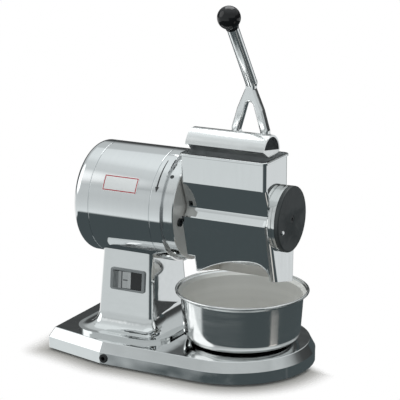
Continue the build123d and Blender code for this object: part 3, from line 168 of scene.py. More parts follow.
# soft studio dome: light top and sides, a dim level below, a dim room to the right of the camera
domeSet = {
    "tint": (0.935, 0.99, 1.0),
    "dim": (0.066, 0.083, 0.088),
    "backdrop": (1.0, 1.0, 1.0),  # what the camera itself sees
    "front": [(-0.43, 0.84), (-0.37, 0.82), (-0.185, 0.73), (0, 0.66), (0.17, 0.63), (0.35, 0.65),
              (0.48, 0.61), (0.515, 0.52), (0.55, 0.56), (0.652, 0.6), (0.765, 0.7), (0.85, 0.75),
              (0.88, 0.94), (1, 1.0)],  # height, from -1 to 1, and level
    "back": [(-0.39, 1.0), (-0.115, 1.0), (-0.07, 0.14), (0.0, 0.05), (0.22, 0.07), (0.28, 0.14),
             (0.36, 0.42), (0.44, 0.58), (0.69, 0.62), (0.725, 0.86), (0.85, 0.92), (1, 1.0)],
    "plainBelow": -0.1,  # no tint below this at the back
    "halves": (-0.12, 0.12),  # where front runs into back
    "dimTop": -0.475,
    "dimTopBack": -0.435,
    "lift": 0.065,  # the dim level stands higher in front
    "liftTurn": (-64, -52),
    "liftDepth": (0.1, -0.1),
    "liftHeight": (-0.2, -0.34),
    "roomTurn": (12, 38, 104, 118),  # degrees from the front towards the right
    "roomTop": (0.2, 0.02),
    "stripTurn": (83, 87, 100, 104),
    "stripTop": (-0.425, -0.465),
    "stripFoot": (-0.72, -0.66),
    "strip": (0.70, 0.68, 0.645),
    "sideTurn": (112, 124, 166, 176),  # right side wall, a little duller
    "sideTop": (-0.08, -0.14),
    "sideFoot": (-0.43, -0.39),
    "sideTone": (0.74, 0.77, 0.78),
    "lowTurn": (-20, -15, 70, 77),  # degrees from the back towards the right
    "lowTop": (-0.31, -0.335),
    "gapTurn": (-20, -15, 12, 17),  # narrow dark gap straight behind
    "gapTop": (0.1, 0.0),
    "boxFrom": (-0.80, -0.40, 0.45),
    "boxEdge": (0.9, 0.945),
    "boxLevel": 0.95,
}


def studioDome(s):
    world = bpy.data.worlds.new("studioDome")
    scene.world = world
    world.use_nodes = True
    tree = world.node_tree
    tree.nodes.clear()
    out = addNode(tree, "OutputWorld")
    light = addNode(tree, "Background", {"Strength": 1.0})
    tree.links.new(light.outputs["Background"], out.inputs["Surface"])
    way = coordinate(tree, "Generated")
    across, depth, height = axes(tree, way)
    forward = calc(tree, "MULTIPLY", depth, -1.0)
    turn = calc(tree, "DEGREES", calc(tree, "ARCTAN2", across, forward))
    backTurn = calc(tree, "DEGREES", calc(tree, "ARCTAN2", across, depth))

    def between(low0, low1, high0, high1, angle=turn):
        return both(tree, ease(tree, angle, low0, low1), ease(tree, angle, high1, high0))

    def banded(level, dimTop, bands, plainBelow=-1.0):
        stops = [(-1.0, s["dim"]), (dimTop, s["dim"])]
        for z, glow in bands:
            stops.append((z, [glow * t if z > plainBelow else glow for t in s["tint"]]))
        share = calc(tree, "MULTIPLY_ADD", level, 0.5, 0.5)  # -1 to 1 becomes 0 to 1
        return ramp(tree, share, [((z + 1) / 2, colour) for z, colour in stops])

    raised = both(tree, ease(tree, turn, *s["liftTurn"]), ease(tree, depth, *s["liftDepth"]))
    raised = calc(tree, "MULTIPLY", raised, s["lift"])
    raised = calc(tree, "MULTIPLY", raised, ease(tree, height, *s["liftHeight"]))
    front = banded(calc(tree, "SUBTRACT", height, raised), s["dimTop"], s["front"])
    back = banded(height, s["dimTopBack"], s["back"], s["plainBelow"])
    dome = blendColour(tree, ease(tree, depth, *s["halves"]), front, back)
    wall = both(tree, ease(tree, height, *s["sideTop"]), ease(tree, height, *s["sideFoot"]))
    dome = blendColour(tree, both(tree, between(*s["sideTurn"]), wall), dome, s["sideTone"])
    for name, angle in (("low", backTurn), ("gap", backTurn), ("room", turn)):
        top = ease(tree, height, *s[name + "Top"])
        dome = blendColour(tree, both(tree, between(*s[name + "Turn"], angle), top), dome, s["dim"])
    strip = both(tree, between(*s["stripTurn"]), ease(tree, height, *s["stripTop"]))
    strip = both(tree, strip, ease(tree, height, *s["stripFoot"]))
    dome = blendColour(tree, strip, dome, s["strip"])
    facing = vectorCalc(tree, "DOT_PRODUCT", way, Vector(s["boxFrom"]).normalized())
    box = calc(tree, "MULTIPLY", ease(tree, facing, *s["boxEdge"]), s["boxLevel"])
    boxColour = addNode(tree, "CombineXYZ", {"X": box, "Y": box, "Z": box}).outputs[0]
    whole = vectorCalc(tree, "ADD", dome, boxColour)
    seen = addNode(tree, "LightPath").outputs["Is Camera Ray"]
    tree.links.new(blendColour(tree, seen, whole, s["backdrop"]), light.inputs["Color"])


studioDome(domeSet)

# floor round the base, toned darker than the white backdrop so that it shows as painted shadow
# beside the lamp's real shadow, and runs out softly into the backdrop
floorSet = {"size": 1.4, "drop": 0.0003, "haloShade": (0.60, 0.57, 0.54), "solid": 0.0, "gone": 0.05,
            "behind": 1.5, "left": -0.204, "kink": -0.093, "endHalf": 0.102, "half": 0.128,
            "roundFrom": 0.076, "cloudScale": 9.0, "cloudDetail": 3.0, "cloudShade": 0.95,
            "rough": 0.6}


def shadowHaloFloor(s):
    bpy.ops.mesh.primitive_plane_add(size=s["size"], location=(0, 0, -s["drop"]))
    floor = bpy.context.object
    floor.name = "floor"
    bpy.ops.object.transform_apply(location=True, rotation=False, scale=False)
    mat, tree, out = emptyMaterial("shadowHaloFloor")
    spot = coordinate(tree, "Object")
    place = axes(tree, spot)
    x, y = place["X"], place["Y"]

    def past(value, limit):
        return calc(tree, "MAXIMUM", calc(tree, "SUBTRACT", value, limit), 0.0)

    def length(first, second):
        return vectorCalc(tree, "LENGTH",
                          addNode(tree, "CombineXYZ", {"X": first, "Y": second}).outputs[0])

    half = ease(tree, x, s["left"], s["kink"], s["endHalf"], s["half"], "LINEAR")
    aside = past(length(past(x, s["roundFrom"]), y), half)
    away = length(past(s["left"], x), aside)
    behind = calc(tree, "MULTIPLY", calc(tree, "MAXIMUM", y, 0.0), s["behind"])
    shown = ease(tree, calc(tree, "ADD", away, behind), s["gone"], s["solid"])
    cloud = noise(tree, spot, s["cloudScale"], s["cloudDetail"])
    # darker floor tone: painted shadow near the base, faded out by the mask above
    tone = blendColour(tree, cloud, s["haloShade"], [c * s["cloudShade"] for c in s["haloShade"]])
    haloShadeBsdf = addNode(tree, "BsdfDiffuse", {"Color": tone, "Roughness": s["rough"]})
    clear = addNode(tree, "BsdfTransparent")
    mix = addNode(tree, "MixShader", {0: shown, 1: clear.outputs[0], 2: haloShadeBsdf.outputs[0]})
    tree.links.new(mix.outputs[0], out.inputs["Surface"])
    floor.data.materials.append(mat)
    floor.visible_glossy = False


shadowHaloFloor(floorSet)

# one large soft lamp above and behind, for the shadow in front of the base
lampSet = {"place": (-0.15, 0.55, 1.45), "aim": (0.0, 0.0, 0.15), "size": 0.9, "power": 6.0}


def softLamp(s):
    bpy.ops.object.light_add(type="AREA", location=s["place"])
    lamp = bpy.context.object
    lamp.data.shape = "SQUARE"
    lamp.data.size = s["size"]
    lamp.data.energy = s["power"]
    aim = Vector(s["aim"]) - Vector(s["place"])
    lamp.rotation_euler = aim.to_track_quat("-Z", "Y").to_euler()


softLamp(lampSet)
print("dome, floor and lamp ready")


# shared effects
def startGroup(name, inputs, outputs):
    group = bpy.data.node_groups.new(name, "ShaderNodeTree")
    for label, kind in inputs.items():
        group.interface.new_socket(label, in_out="INPUT", socket_type="NodeSocket" + kind)
    for label in outputs:
        group.interface.new_socket(label, in_out="OUTPUT", socket_type="NodeSocketFloat")
    start = group.nodes.new("NodeGroupInput").outputs
    return group, start, group.nodes.new("NodeGroupOutput").inputs


# fine polishing lines, drawn out across the stretch
lineSet = {"detail": 4.0, "roughness": 0.65, "broadShare": 0.13, "broadDetail": 3.0,
           "broadLimits": (0.3, 0.7)}


def buffLineGroup(s):
    inputs = {"Vector": "Vector", "Stretch": "Vector", "Scale": "Float"}
    group, start, end = startGroup("buffLines", inputs, ["Rough", "Height"])
    drawn = vectorCalc(group, "MULTIPLY", start["Vector"], start["Stretch"])
    fine = noise(group, drawn, start["Scale"], s["detail"], s["roughness"])
    broadScale = calc(group, "MULTIPLY", start["Scale"], s["broadShare"])
    broad = noise(group, drawn, broadScale, s["broadDetail"])
    group.links.new(ease(group, broad, *s["broadLimits"]), end["Rough"])
    group.links.new(fine, end["Height"])
    return group


# slow hand-polished unevenness
waveSet = {"detail": 1.0, "roughness": 0.4}


def softWaveGroup(s):
    group, start, end = startGroup("softWaves", {"Vector": "Vector", "Scale": "Float"}, ["Height"])
    slow = noise(group, start["Vector"], start["Scale"], s["detail"], s["roughness"])
    group.links.new(slow, end["Height"])
    return group


# faint wipe marks and haze
hazeSet = {"detail": 5.0, "roughness": 0.62, "swirl": 0.6, "limits": (0.42, 0.72)}


def smudgeGroup(s):
    group, start, end = startGroup("wipeHaze", {"Vector": "Vector", "Scale": "Float"}, ["Haze"])
    cloud = noise(group, start["Vector"], start["Scale"], s["detail"], s["roughness"], s["swirl"])
    group.links.new(ease(group, cloud, *s["limits"]), end["Haze"])
    return group


# moulded or sand-cast grain
grainSet = {"detail": 3.0, "roughness": 0.7, "shadeShare": 0.03, "shadeDetail": 2.0,
            "shadeLimits": (0.3, 0.7)}


def grainGroup(s):
    inputs = {"Vector": "Vector", "Scale": "Float"}
    group, start, end = startGroup("mouldGrain", inputs, ["Shade", "Height"])
    pits = noise(group, start["Vector"], start["Scale"], s["detail"], s["roughness"])
    shadeScale = calc(group, "MULTIPLY", start["Scale"], s["shadeShare"])
    cloud = noise(group, start["Vector"], shadeScale, s["shadeDetail"])
    group.links.new(ease(group, cloud, *s["shadeLimits"]), end["Shade"])
    group.links.new(pits, end["Height"])
    return group


effects = {"lines": buffLineGroup(lineSet), "waves": softWaveGroup(waveSet),
           "haze": smudgeGroup(hazeSet), "grain": grainGroup(grainSet)}


def useGroup(tree, key, values):
    node = tree.nodes.new("ShaderNodeGroup")
    node.node_tree = effects[key]
    for label, value in values.items():
        plug(tree, node.inputs[label], value)
    return node.outputs


def startMaterial(name):
    mat, tree, out = emptyMaterial(name)
    skin = addNode(tree, "BsdfPrincipled")
    tree.links.new(skin.outputs["BSDF"], out.inputs["Surface"])
    return mat, tree, skin.inputs, coordinate(tree, "Object")


metalMix = {"lines": 0.6, "haze": 0.4}  # how far each dulls the metal


def metalFinish(name, s):
    mat, tree, skin, place = startMaterial(name)
    lines = useGroup(tree, "lines",
                     {"Vector": place, "Stretch": s["stretch"], "Scale": s["lineScale"]})
    haze = useGroup(tree, "haze", {"Vector": place, "Scale": s["hazeScale"]})
    drawn = vectorCalc(tree, "MULTIPLY", place, s.get("waveStretch", (1, 1, 1)))
    waves = useGroup(tree, "waves", {"Vector": drawn, "Scale": s["waveScale"]})
    mixed = calc(tree, "ADD", calc(tree, "MULTIPLY", lines["Rough"], metalMix["lines"]),
                 calc(tree, "MULTIPLY", haze["Haze"], metalMix["haze"]))
    rough = ease(tree, mixed, 0.0, 1.0, *s["rough"])
    tone = blendColour(tree, mixed, s["colour"], s["shade"])
    slow = bump(tree, waves["Height"], s["waveDepth"])
    normal = bump(tree, lines["Height"], s["lineDepth"], slow)
    plug(tree, skin["Metallic"], 1.0)
    plug(tree, skin["Base Color"], tone)
    plug(tree, skin["Roughness"], rough)
    plug(tree, skin["Normal"], normal)
    return {"mat": mat, "tree": tree, "skin": skin, "place": place, "tone": tone, "rough": rough,
            "normal": normal, "mixed": mixed}


plasticPlain = {"hazeScale": 25.0, "shine": 0.5}  # unless a set gives its own


def plasticFinish(name, s):
    s = {**plasticPlain, **s}
    mat, tree, skin, place = startMaterial(name)
    grain = useGroup(tree, "grain", {"Vector": place, "Scale": s["grainScale"]})
    haze = useGroup(tree, "haze", {"Vector": place, "Scale": s["hazeScale"]})
    tone = blendColour(tree, grain["Shade"], s["colour"], s["shade"])
    normal = bump(tree, grain["Height"], s["depth"])
    plug(tree, skin["Base Color"], tone)
    plug(tree, skin["Roughness"], ease(tree, haze["Haze"], 0.0, 1.0, *s["rough"]))
    plug(tree, skin["Normal"], normal)
    plug(tree, skin["Specular IOR Level"], s["shine"])
    return {"mat": mat, "tree": tree, "skin": skin, "place": place, "tone": tone, "normal": normal}


def tiltNormal(kit, mask, way):  # leans the shading a little where the mask is 1
    tree = kit["tree"]
    lean = addNode(tree, "VectorMath", {0: way, "Scale": mask}, operation="SCALE").outputs[0]
    leaned = vectorCalc(tree, "ADD", kit["normal"], lean)
    kit["normal"] = vectorCalc(tree, "NORMALIZE", leaned)
    plug(tree, kit["skin"]["Normal"], kit["normal"])


def dress(mat, *names):
    for name in names:
        nodes[name].material_slots[0].material = mat
    return mat


def dressMetal(finish, s, *names):
    return dress(metalFinish(finish, s)["mat"], *names)


def dressPlastic(finish, s, *names):
    return dress(plasticFinish(finish, s)["mat"], *names)


print("shared effects ready")

# base and column: hand-polished castings
castSet = {"colour": (0.80, 0.81, 0.81), "shade": (0.77, 0.78, 0.78), "rough": (0.035, 0.085),
           "stretch": (0.4, 1, 1), "lineScale": 900.0, "lineDepth": 0.0000012,
           "hazeScale": 14.0, "waveScale": 26.0, "waveDepth": 0.00025,
           "skirtTop": 0.0214, "skirtSlope": 0.2, "skirtLean": (0, 0, -0.031),
           "top": (0.0368, 0.0376), "topSlope": 0.95, "topLean": (-0.026, 0.0495, 0)}


def castFinish(s):
    kit = metalFinish("castPolished", s)
    tree = kit["tree"]
    height = axes(tree, kit["place"])["Z"]
    upright = axes(tree, coordinate(tree, "Normal"))["Z"]
    steep = below(tree, calc(tree, "ABSOLUTE", upright), s["skirtSlope"])
    tiltNormal(kit, both(tree, below(tree, height, s["skirtTop"]), steep), s["skirtLean"])
    flat = above(tree, upright, s["topSlope"])
    tiltNormal(kit, both(tree, within(tree, height, s["top"]), flat), s["topLean"])
    return kit["mat"]


dress(castFinish(castSet), "base_plate", "column")

# grater head: the same casting with a soft upright grain in front, satin inside
headSet = {"colour": (0.80, 0.81, 0.81), "shade": (0.76, 0.77, 0.77), "rough": (0.05, 0.11),
           "stretch": (1, 1, 0.12), "lineScale": 1200.0, "lineDepth": 0.0000025,
           "hazeScale": 16.0, "waveScale": 22.0, "waveDepth": 0.00006,
           "panelOut": (-0.9, -0.95), "panelDown": (-0.2, -0.24), "panelLean": (0, 0, 0.14),
           "hollow": (0.0126, 0.052), "hollowLean": (0.27, 0, 0),
           "face": (0.0112, 0.0126), "faceOut": (0.9, 0.97), "faceMetal": 0.3,
           "frontEdge": (0.0, -0.0525, 0.236), "frontWay": (0.0, 0.9637, 0.2671), "wall": 0.002,
           "inner": (0.0168, 0.1532), "back": 0.0405, "stepHeight": 0.1705, "chuteInner": 0.0275,
           "satin": (0.74, 0.72, 0.69), "satinRough": (0.34, 0.48)}


def toneInside(kit, inside, s):
    tree, skin = kit["tree"], kit["skin"]
    satinRough = ease(tree, kit["mixed"], 0.0, 1.0, *s["satinRough"])
    values = {"Factor": inside, 2: kit["rough"], 3: satinRough}  # its two plain numbers
    plug(tree, skin["Roughness"], addNode(tree, "Mix", values, data_type="FLOAT").outputs[0])
    plug(tree, skin["Base Color"], blendColour(tree, inside, kit["tone"], s["satin"]))
    if "satinMetal" in s:
        plug(tree, skin["Metallic"], ease(tree, inside, 0.0, 1.0, 1.0, s["satinMetal"]))
    return kit["mat"]


def hollowBeside(kit, panel, s):  # strongest beside the flange
    tree = kit["tree"]
    near = ease(tree, axes(tree, kit["place"])["X"], *s["hollow"], 1.0, 0.0, "LINEAR")
    tiltNormal(kit, both(tree, panel, near), s["hollowLean"])


def headFinish(s):
    kit = metalFinish("headPolished", s)
    tree = kit["tree"]
    x, y, z = axes(tree, kit["place"])
    fromEdge = vectorCalc(tree, "SUBTRACT", kit["place"], s["frontEdge"])
    deep = vectorCalc(tree, "DOT_PRODUCT", fromEdge, s["frontWay"])
    low = below(tree, z, s["stepHeight"])
    leftEnd = ease(tree, low, 0.0, 1.0, s["inner"][0], s["chuteInner"])
    inside = both(tree, above(tree, deep, s["wall"]), below(tree, y, s["back"]))
    inside = both(tree, inside, above(tree, x, leftEnd))
    inside = both(tree, inside, below(tree, x, s["inner"][1]))
    way = axes(tree, coordinate(tree, "Normal"))
    flange = both(tree, within(tree, x, s["face"]), ease(tree, way["X"], *s["faceOut"]))
    panel = both(tree, ease(tree, way["Y"], *s["panelOut"]), ease(tree, way["Z"], *s["panelDown"]))
    tiltNormal(kit, panel, s["panelLean"])
    hollowBeside(kit, panel, s)
    plug(tree, kit["skin"]["Metallic"], ease(tree, flange, 0.0, 1.0, 1.0, s["faceMetal"]))
    return toneInside(kit, calc(tree, "MAXIMUM", inside, flange), s)


dress(headFinish(headSet), "roller_housing")

# motor casing: rolled sheet with lines round it and two seams
casingSet = {"colour": (0.80, 0.81, 0.815), "shade": (0.78, 0.79, 0.795), "rough": (0.03, 0.06),
             "stretch": (1, 0.05, 0.05), "lineScale": 1400.0, "lineDepth": 0.0000006,
             "hazeScale": 10.0, "waveScale": 9.0, "waveDepth": 0.00012, "seams": (-0.134, -0.026),
             "seamWidth": 0.0007, "seamEdge": (1.3, 0.5), "seamDepth": 0.0002,
             "seamTone": (0.56, 0.58, 0.59)}


def casingFinish(s):
    kit = metalFinish("casingPolished", s)
    tree, skin = kit["tree"], kit["skin"]
    along = axes(tree, kit["place"])["X"]
    gaps = [calc(tree, "ABSOLUTE", calc(tree, "SUBTRACT", along, seam)) for seam in s["seams"]]
    groove = ease(tree, calc(tree, "MINIMUM", *gaps), *[s["seamWidth"] * e for e in s["seamEdge"]])
    plug(tree, skin["Base Color"], blendColour(tree, groove, kit["tone"], s["seamTone"]))
    plug(tree, skin["Normal"], bump(tree, groove, -s["seamDepth"], kit["normal"]))
    return kit["mat"]


dress(casingFinish(casingSet), "motor_casing", "motor_end_cap")

# hopper: folded bright sheet, satin inside, with a thin dark band painted under the rim as shade
hopperSet = {"colour": (0.80, 0.81, 0.81), "shade": (0.78, 0.79, 0.79), "rough": (0.03, 0.07),
             "stretch": (1, 1, 0.1), "lineScale": 1300.0, "lineDepth": 0.0000012,
             "hazeScale": 15.0, "waveScale": 20.0, "waveDepth": 0.00012,
             "middle": (0.085, -0.02, 0), "satin": (0.62, 0.64, 0.65), "satinRough": (0.3, 0.42),
             "satinMetal": 0.3, "slopeOut": (-0.9, -0.95), "slopeDown": (-0.06, -0.1),
             "hollow": (0.0126, 0.052), "hollowLean": (0.27, 0, 0), "rimFoot": 0.3329,
             "rimShade": 0.0011, "rimOver": 0.0003, "paintedRimTone": (0.12, 0.13, 0.135)}
inwardLimits = (-0.1, -0.4)


def offAxis(tree, place, middle, mask):  # straight out from an axis through the middle
    return vectorCalc(tree, "MULTIPLY", vectorCalc(tree, "SUBTRACT", place, middle), mask)


def inwardFaces(kit, middle):  # 1 on faces that look back at the middle
    tree = kit["tree"]
    outward = vectorCalc(tree, "NORMALIZE", offAxis(tree, kit["place"], middle, (1, 1, 0)))
    faceWay = coordinate(tree, "Normal")
    facing = vectorCalc(tree, "DOT_PRODUCT", faceWay, outward)
    return ease(tree, facing, *inwardLimits), axes(tree, faceWay)


def hopperFinish(s):
    kit = metalFinish("hopperSteel", s)
    tree = kit["tree"]
    height = axes(tree, kit["place"])["Z"]
    # painted shade: a thin dark band just under the rim
    rimShadow = both(tree, ease(tree, height, s["rimFoot"] - s["rimShade"], s["rimFoot"]),
                 below(tree, height, s["rimFoot"] + s["rimOver"]))
    kit["tone"] = blendColour(tree, rimShadow, kit["tone"], s["paintedRimTone"])
    inside, way = inwardFaces(kit, s["middle"])
    slope = both(tree, ease(tree, way["Y"], *s["slopeOut"]), ease(tree, way["Z"], *s["slopeDown"]))
    hollowBeside(kit, slope, s)
    return toneInside(kit, inside, s)


dress(hopperFinish(hopperSet), "hopper")

# bowl: bright outside, satin inside with spun rings, and a darker tone on the inside floor that is
# painted shade
bowlSet = {"colour": (0.78, 0.785, 0.78), "shade": (0.75, 0.755, 0.75), "rough": (0.085, 0.15),
           "stretch": (0.04, 0.04, 1), "lineScale": 1500.0, "lineDepth": 0.000002,
           "hazeScale": 12.0, "waveScale": 14.0, "waveDepth": 0.00006, "middle": (0.09, 0, 0),
           "rimLevel": 0.1145, "floorLevel": 0.075, "floorUp": (0.3, 0.6),
           "floorShadeTone": (0.72, 0.71, 0.685), "satin": (0.93, 0.92, 0.885),
           "satinRough": (0.42, 0.55), "satinMetal": 0.05, "ringScale": 900.0, "ringDetail": 3.0,
           "ringLimits": (0.35, 0.65), "ringTone": (0.86, 0.85, 0.815), "ringShare": 0.6}


def bowlFinish(s):
    kit = metalFinish("bowlSteel", s)
    tree = kit["tree"]
    wall, way = inwardFaces(kit, s["middle"])
    height = axes(tree, kit["place"])["Z"]
    bottom = both(tree, ease(tree, way["Z"], *s["floorUp"]), below(tree, height, s["floorLevel"]))
    inside = both(tree, calc(tree, "MAXIMUM", wall, bottom), below(tree, height, s["rimLevel"]))
    radius = vectorCalc(tree, "LENGTH", offAxis(tree, kit["place"], s["middle"], (1, 1, 0)))
    rings = turnedRings(tree, radius, s["ringScale"], s["ringDetail"])
    share = ease(tree, rings, *s["ringLimits"], 0.0, s["ringShare"])
    spun = blendColour(tree, share, s["satin"], s["ringTone"])
    # painted shade: the inside floor darker than the wall
    satin = blendColour(tree, bottom, spun, s["floorShadeTone"])
    return toneInside(kit, inside, {**s, "satin": satin})


dress(bowlFinish(bowlSet), "bowl")

# lever and presser castings, turned collar
leverSet = {"colour": (0.86, 0.87, 0.87), "shade": (0.82, 0.83, 0.83), "rough": (0.13, 0.2),
            "stretch": (1, 0.1, 0.1), "lineScale": 1400.0, "lineDepth": 0.0000008,
            "hazeScale": 20.0, "waveScale": 130.0, "waveDepth": 0.0006,
            "waveStretch": (1, 0.04, 0.04)}
dressMetal("leverPolished", leverSet, "lever_arm")
# presser: the recesses in its ends get a near-black inside tone, painted shade in the hollows
presserSet = {"colour": (0.84, 0.845, 0.84), "shade": (0.79, 0.80, 0.80), "rough": (0.16, 0.26),
              "stretch": (0.15, 1, 1), "lineScale": 1500.0, "lineDepth": 0.000004,
              "hazeScale": 18.0, "waveScale": 30.0, "waveDepth": 0.0001, "centre": 0.085,
              "recess": 0.060, "sideways": (0.5, 0.7), "satin": (0.10, 0.11, 0.115),
              "satinRough": (0.45, 0.6)}


def presserFinish(s):
    kit = metalFinish("presserAluminium", s)
    tree = kit["tree"]
    across = axes(tree, kit["place"])["X"]
    way = calc(tree, "ABSOLUTE", axes(tree, coordinate(tree, "Normal"))["X"])
    off = calc(tree, "ABSOLUTE", calc(tree, "SUBTRACT", across, s["centre"]))
    # painted shade: dark tone on the end faces inside the recesses
    deep = both(tree, ease(tree, way, *s["sideways"]), below(tree, off, s["recess"]))
    return toneInside(kit, deep, s)


dress(presserFinish(presserSet), "presser")
collarSet = {"colour": (0.80, 0.805, 0.80), "shade": (0.75, 0.755, 0.75), "rough": (0.08, 0.18),
             "stretch": (1, 0.06, 0.06), "lineScale": 2500.0, "lineDepth": 0.000004,
             "hazeScale": 25.0, "waveScale": 30.0, "waveDepth": 0.00005}
dressMetal("collarAluminium", collarSet, "roller_collar")

# inner castings, sheet, screws and shafts
plainCastSet = {"colour": (0.60, 0.61, 0.62), "shade": (0.50, 0.51, 0.52), "rough": (0.38, 0.55),
                "stretch": (1, 1, 1), "lineScale": 900.0, "lineDepth": 0.00006,
                "hazeScale": 30.0, "waveScale": 60.0, "waveDepth": 0.0002}
dressMetal("plainCasting", plainCastSet, "motor_flange", "rear_shield", "roller_hubs")
zincSheetSet = {"colour": (0.56, 0.57, 0.58), "shade": (0.47, 0.48, 0.50), "rough": (0.28, 0.42),
                "stretch": (0.2, 1, 1), "lineScale": 700.0, "lineDepth": 0.00001,
                "hazeScale": 22.0, "waveScale": 15.0, "waveDepth": 0.0002}
dressMetal("zincSheet", zincSheetSet, "bottom_cover", "capacitor_clip")
platedScrewSet = {"colour": (0.66, 0.66, 0.65), "shade": (0.54, 0.54, 0.53), "rough": (0.16, 0.3),
                  "stretch": (1, 1, 1), "lineScale": 2500.0, "lineDepth": 0.00001,
                  "hazeScale": 80.0, "waveScale": 90.0, "waveDepth": 0.00004}
dressMetal("platedScrew", platedScrewSet, "foot_screws", "column_bolts", "casing_bolts",
           "through_bolts", "collar_screws", "presser_screws", "hinge_clips")
darkScrewSet = {**platedScrewSet, "colour": (0.085, 0.09, 0.092), "shade": (0.05, 0.053, 0.055),
                "rough": (0.22, 0.36)}
dressMetal("darkScrew", darkScrewSet, "head_bolts", "rim_screws")
groundShaftSet = {"colour": (0.62, 0.62, 0.63), "shade": (0.54, 0.54, 0.55), "rough": (0.12, 0.22),
                  "stretch": (1, 0.05, 0.05), "lineScale": 3000.0, "lineDepth": 0.000004,
                  "hazeScale": 40.0, "waveScale": 40.0, "waveDepth": 0.00003}
dressMetal("groundShaft", groundShaftSet, "motor_shaft", "hinge_pin", "drive_pin")
bearingSet = {"colour": (0.68, 0.68, 0.69), "shade": (0.60, 0.60, 0.61), "rough": (0.06, 0.14),
              "stretch": (1, 0.1, 0.1), "lineScale": 3500.0, "lineDepth": 0.000002,
              "hazeScale": 60.0, "waveScale": 50.0, "waveDepth": 0.00002}
dressMetal("bearingSteel", bearingSet, "front_outer_ring", "front_balls", "front_inner_ring",
           "rear_outer_ring", "rear_balls", "rear_inner_ring")
laminatedSet = {"colour": (0.30, 0.30, 0.31), "shade": (0.20, 0.20, 0.21), "rough": (0.4, 0.6),
                "stretch": (1, 0.01, 0.01), "lineScale": 1800.0, "lineDepth": 0.00008,
                "hazeScale": 20.0, "waveScale": 40.0, "waveDepth": 0.00005}
dressMetal("laminatedCore", laminatedSet, "stator_core", "rotor_core")
rollerSet = {"colour": (0.70, 0.71, 0.71), "shade": (0.62, 0.63, 0.63), "rough": (0.18, 0.3),
             "stretch": (1, 0.08, 0.08), "lineScale": 1600.0, "lineDepth": 0.000008,
             "hazeScale": 30.0, "waveScale": 40.0, "waveDepth": 0.00015}
rollerSteel = dressMetal("rollerSteel", rollerSet, "roller_drum")
rivetSet = {"colour": (0.90, 0.90, 0.90), "shade": (0.86, 0.86, 0.86), "rough": (0.05, 0.1),
            "stretch": (1, 1, 1), "lineScale": 3000.0, "lineDepth": 0.000002,
            "hazeScale": 90.0, "waveScale": 120.0, "waveDepth": 0.00001}
dressMetal("rivetChrome", rivetSet, "wheel_rivet")
windingSet = {"colour": (0.58, 0.27, 0.12), "shade": (0.38, 0.15, 0.06), "rough": (0.22, 0.4),
              "stretch": (0.4, 1, 1), "lineScale": 1200.0, "lineDepth": 0.0003,
              "hazeScale": 60.0, "waveScale": 200.0, "waveDepth": 0.0006}
dressMetal("copperWinding", windingSet, "stator_winding")
canSet = {"colour": (0.66, 0.67, 0.68), "shade": (0.58, 0.59, 0.60), "rough": (0.24, 0.36),
          "stretch": (1, 1, 0.1), "lineScale": 1500.0, "lineDepth": 0.000008,
          "hazeScale": 30.0, "waveScale": 30.0, "waveDepth": 0.0001}
dressMetal("drawnCan", canSet, "capacitor")

# rubber and plastics
rubberSet = {"colour": (0.030, 0.030, 0.031), "shade": (0.045, 0.045, 0.046), "rough": (0.6, 0.8),
             "grainScale": 1200.0, "depth": 0.00008}
dressPlastic("softRubber", rubberSet, "rubber_feet", "shaft_seal")
blackSet = {"colour": (0.022, 0.023, 0.025), "shade": (0.034, 0.035, 0.037), "rough": (0.34, 0.5),
            "grainScale": 2200.0, "depth": 0.00003}
blackPlastic = dressPlastic("blackPlastic", blackSet, "gland_nut", "switch_body", "cooling_fan",
                            "wheel_screw")
glandSet = {"colour": (0.010, 0.011, 0.012), "shade": (0.016, 0.017, 0.018), "rough": (0.4, 0.55),
            "grainScale": 2200.0, "depth": 0.00003}
dressPlastic("glandPlastic", glandSet, "cable_gland")
greySet = {"colour": (0.30, 0.315, 0.32), "shade": (0.25, 0.265, 0.27), "rough": (0.32, 0.45),
           "grainScale": 1800.0, "depth": 0.00003}
greyPlastic = dressPlastic("greyFrame", greySet, "switch_bezel")
terminalSet = {"colour": (0.78, 0.78, 0.74), "shade": (0.70, 0.70, 0.66), "rough": (0.35, 0.5),
               "grainScale": 1500.0, "depth": 0.00003}
dressPlastic("terminalPlastic", terminalSet, "terminal_block")
washerSet = {"colour": (0.74, 0.74, 0.71), "shade": (0.66, 0.66, 0.63), "rough": (0.4, 0.55),
             "grainScale": 1800.0, "depth": 0.00003}
dressPlastic("washerPlastic", washerSet, "hinge_washers")
knobSet = {"colour": (0.008, 0.008, 0.009), "shade": (0.013, 0.013, 0.014), "rough": (0.06, 0.12),
           "grainScale": 900.0, "depth": 0.000006, "shine": 0.4}
dressPlastic("knobGloss", knobSet, "ball_knob", "knob_nut")

# hand wheel: matt moulding, turned face and a paler rim that is a painted highlight
wheelSet = {"colour": (0.020, 0.027, 0.029), "shade": (0.027, 0.035, 0.037), "rough": (0.42, 0.56),
            "grainScale": 1600.0, "depth": 0.00004, "rimFrom": 0.0475, "rimBlend": 0.003,
            "paintedRimTone": (0.05, 0.056, 0.057), "ringScale": 900.0, "ringDetail": 2.0,
            "ringDepth": 0.00003}


def wheelFinish(s):
    kit = plasticFinish("wheelPlastic", s)
    tree, skin = kit["tree"], kit["skin"]
    outward = offAxis(tree, kit["place"], (0, 0, axisHeight), (0, 1, 1))
    radius = vectorCalc(tree, "LENGTH", outward)
    # painted highlight: the rim lighter than the face
    rim = ease(tree, radius, s["rimFrom"], s["rimFrom"] + s["rimBlend"])
    plug(tree, skin["Base Color"], blendColour(tree, rim, kit["tone"], s["paintedRimTone"]))
    rings = turnedRings(tree, radius, s["ringScale"], s["ringDetail"])
    plug(tree, skin["Normal"], bump(tree, rings, s["ringDepth"], kit["normal"]))
    return kit["mat"]


dress(wheelFinish(wheelSet), "hand_wheel")

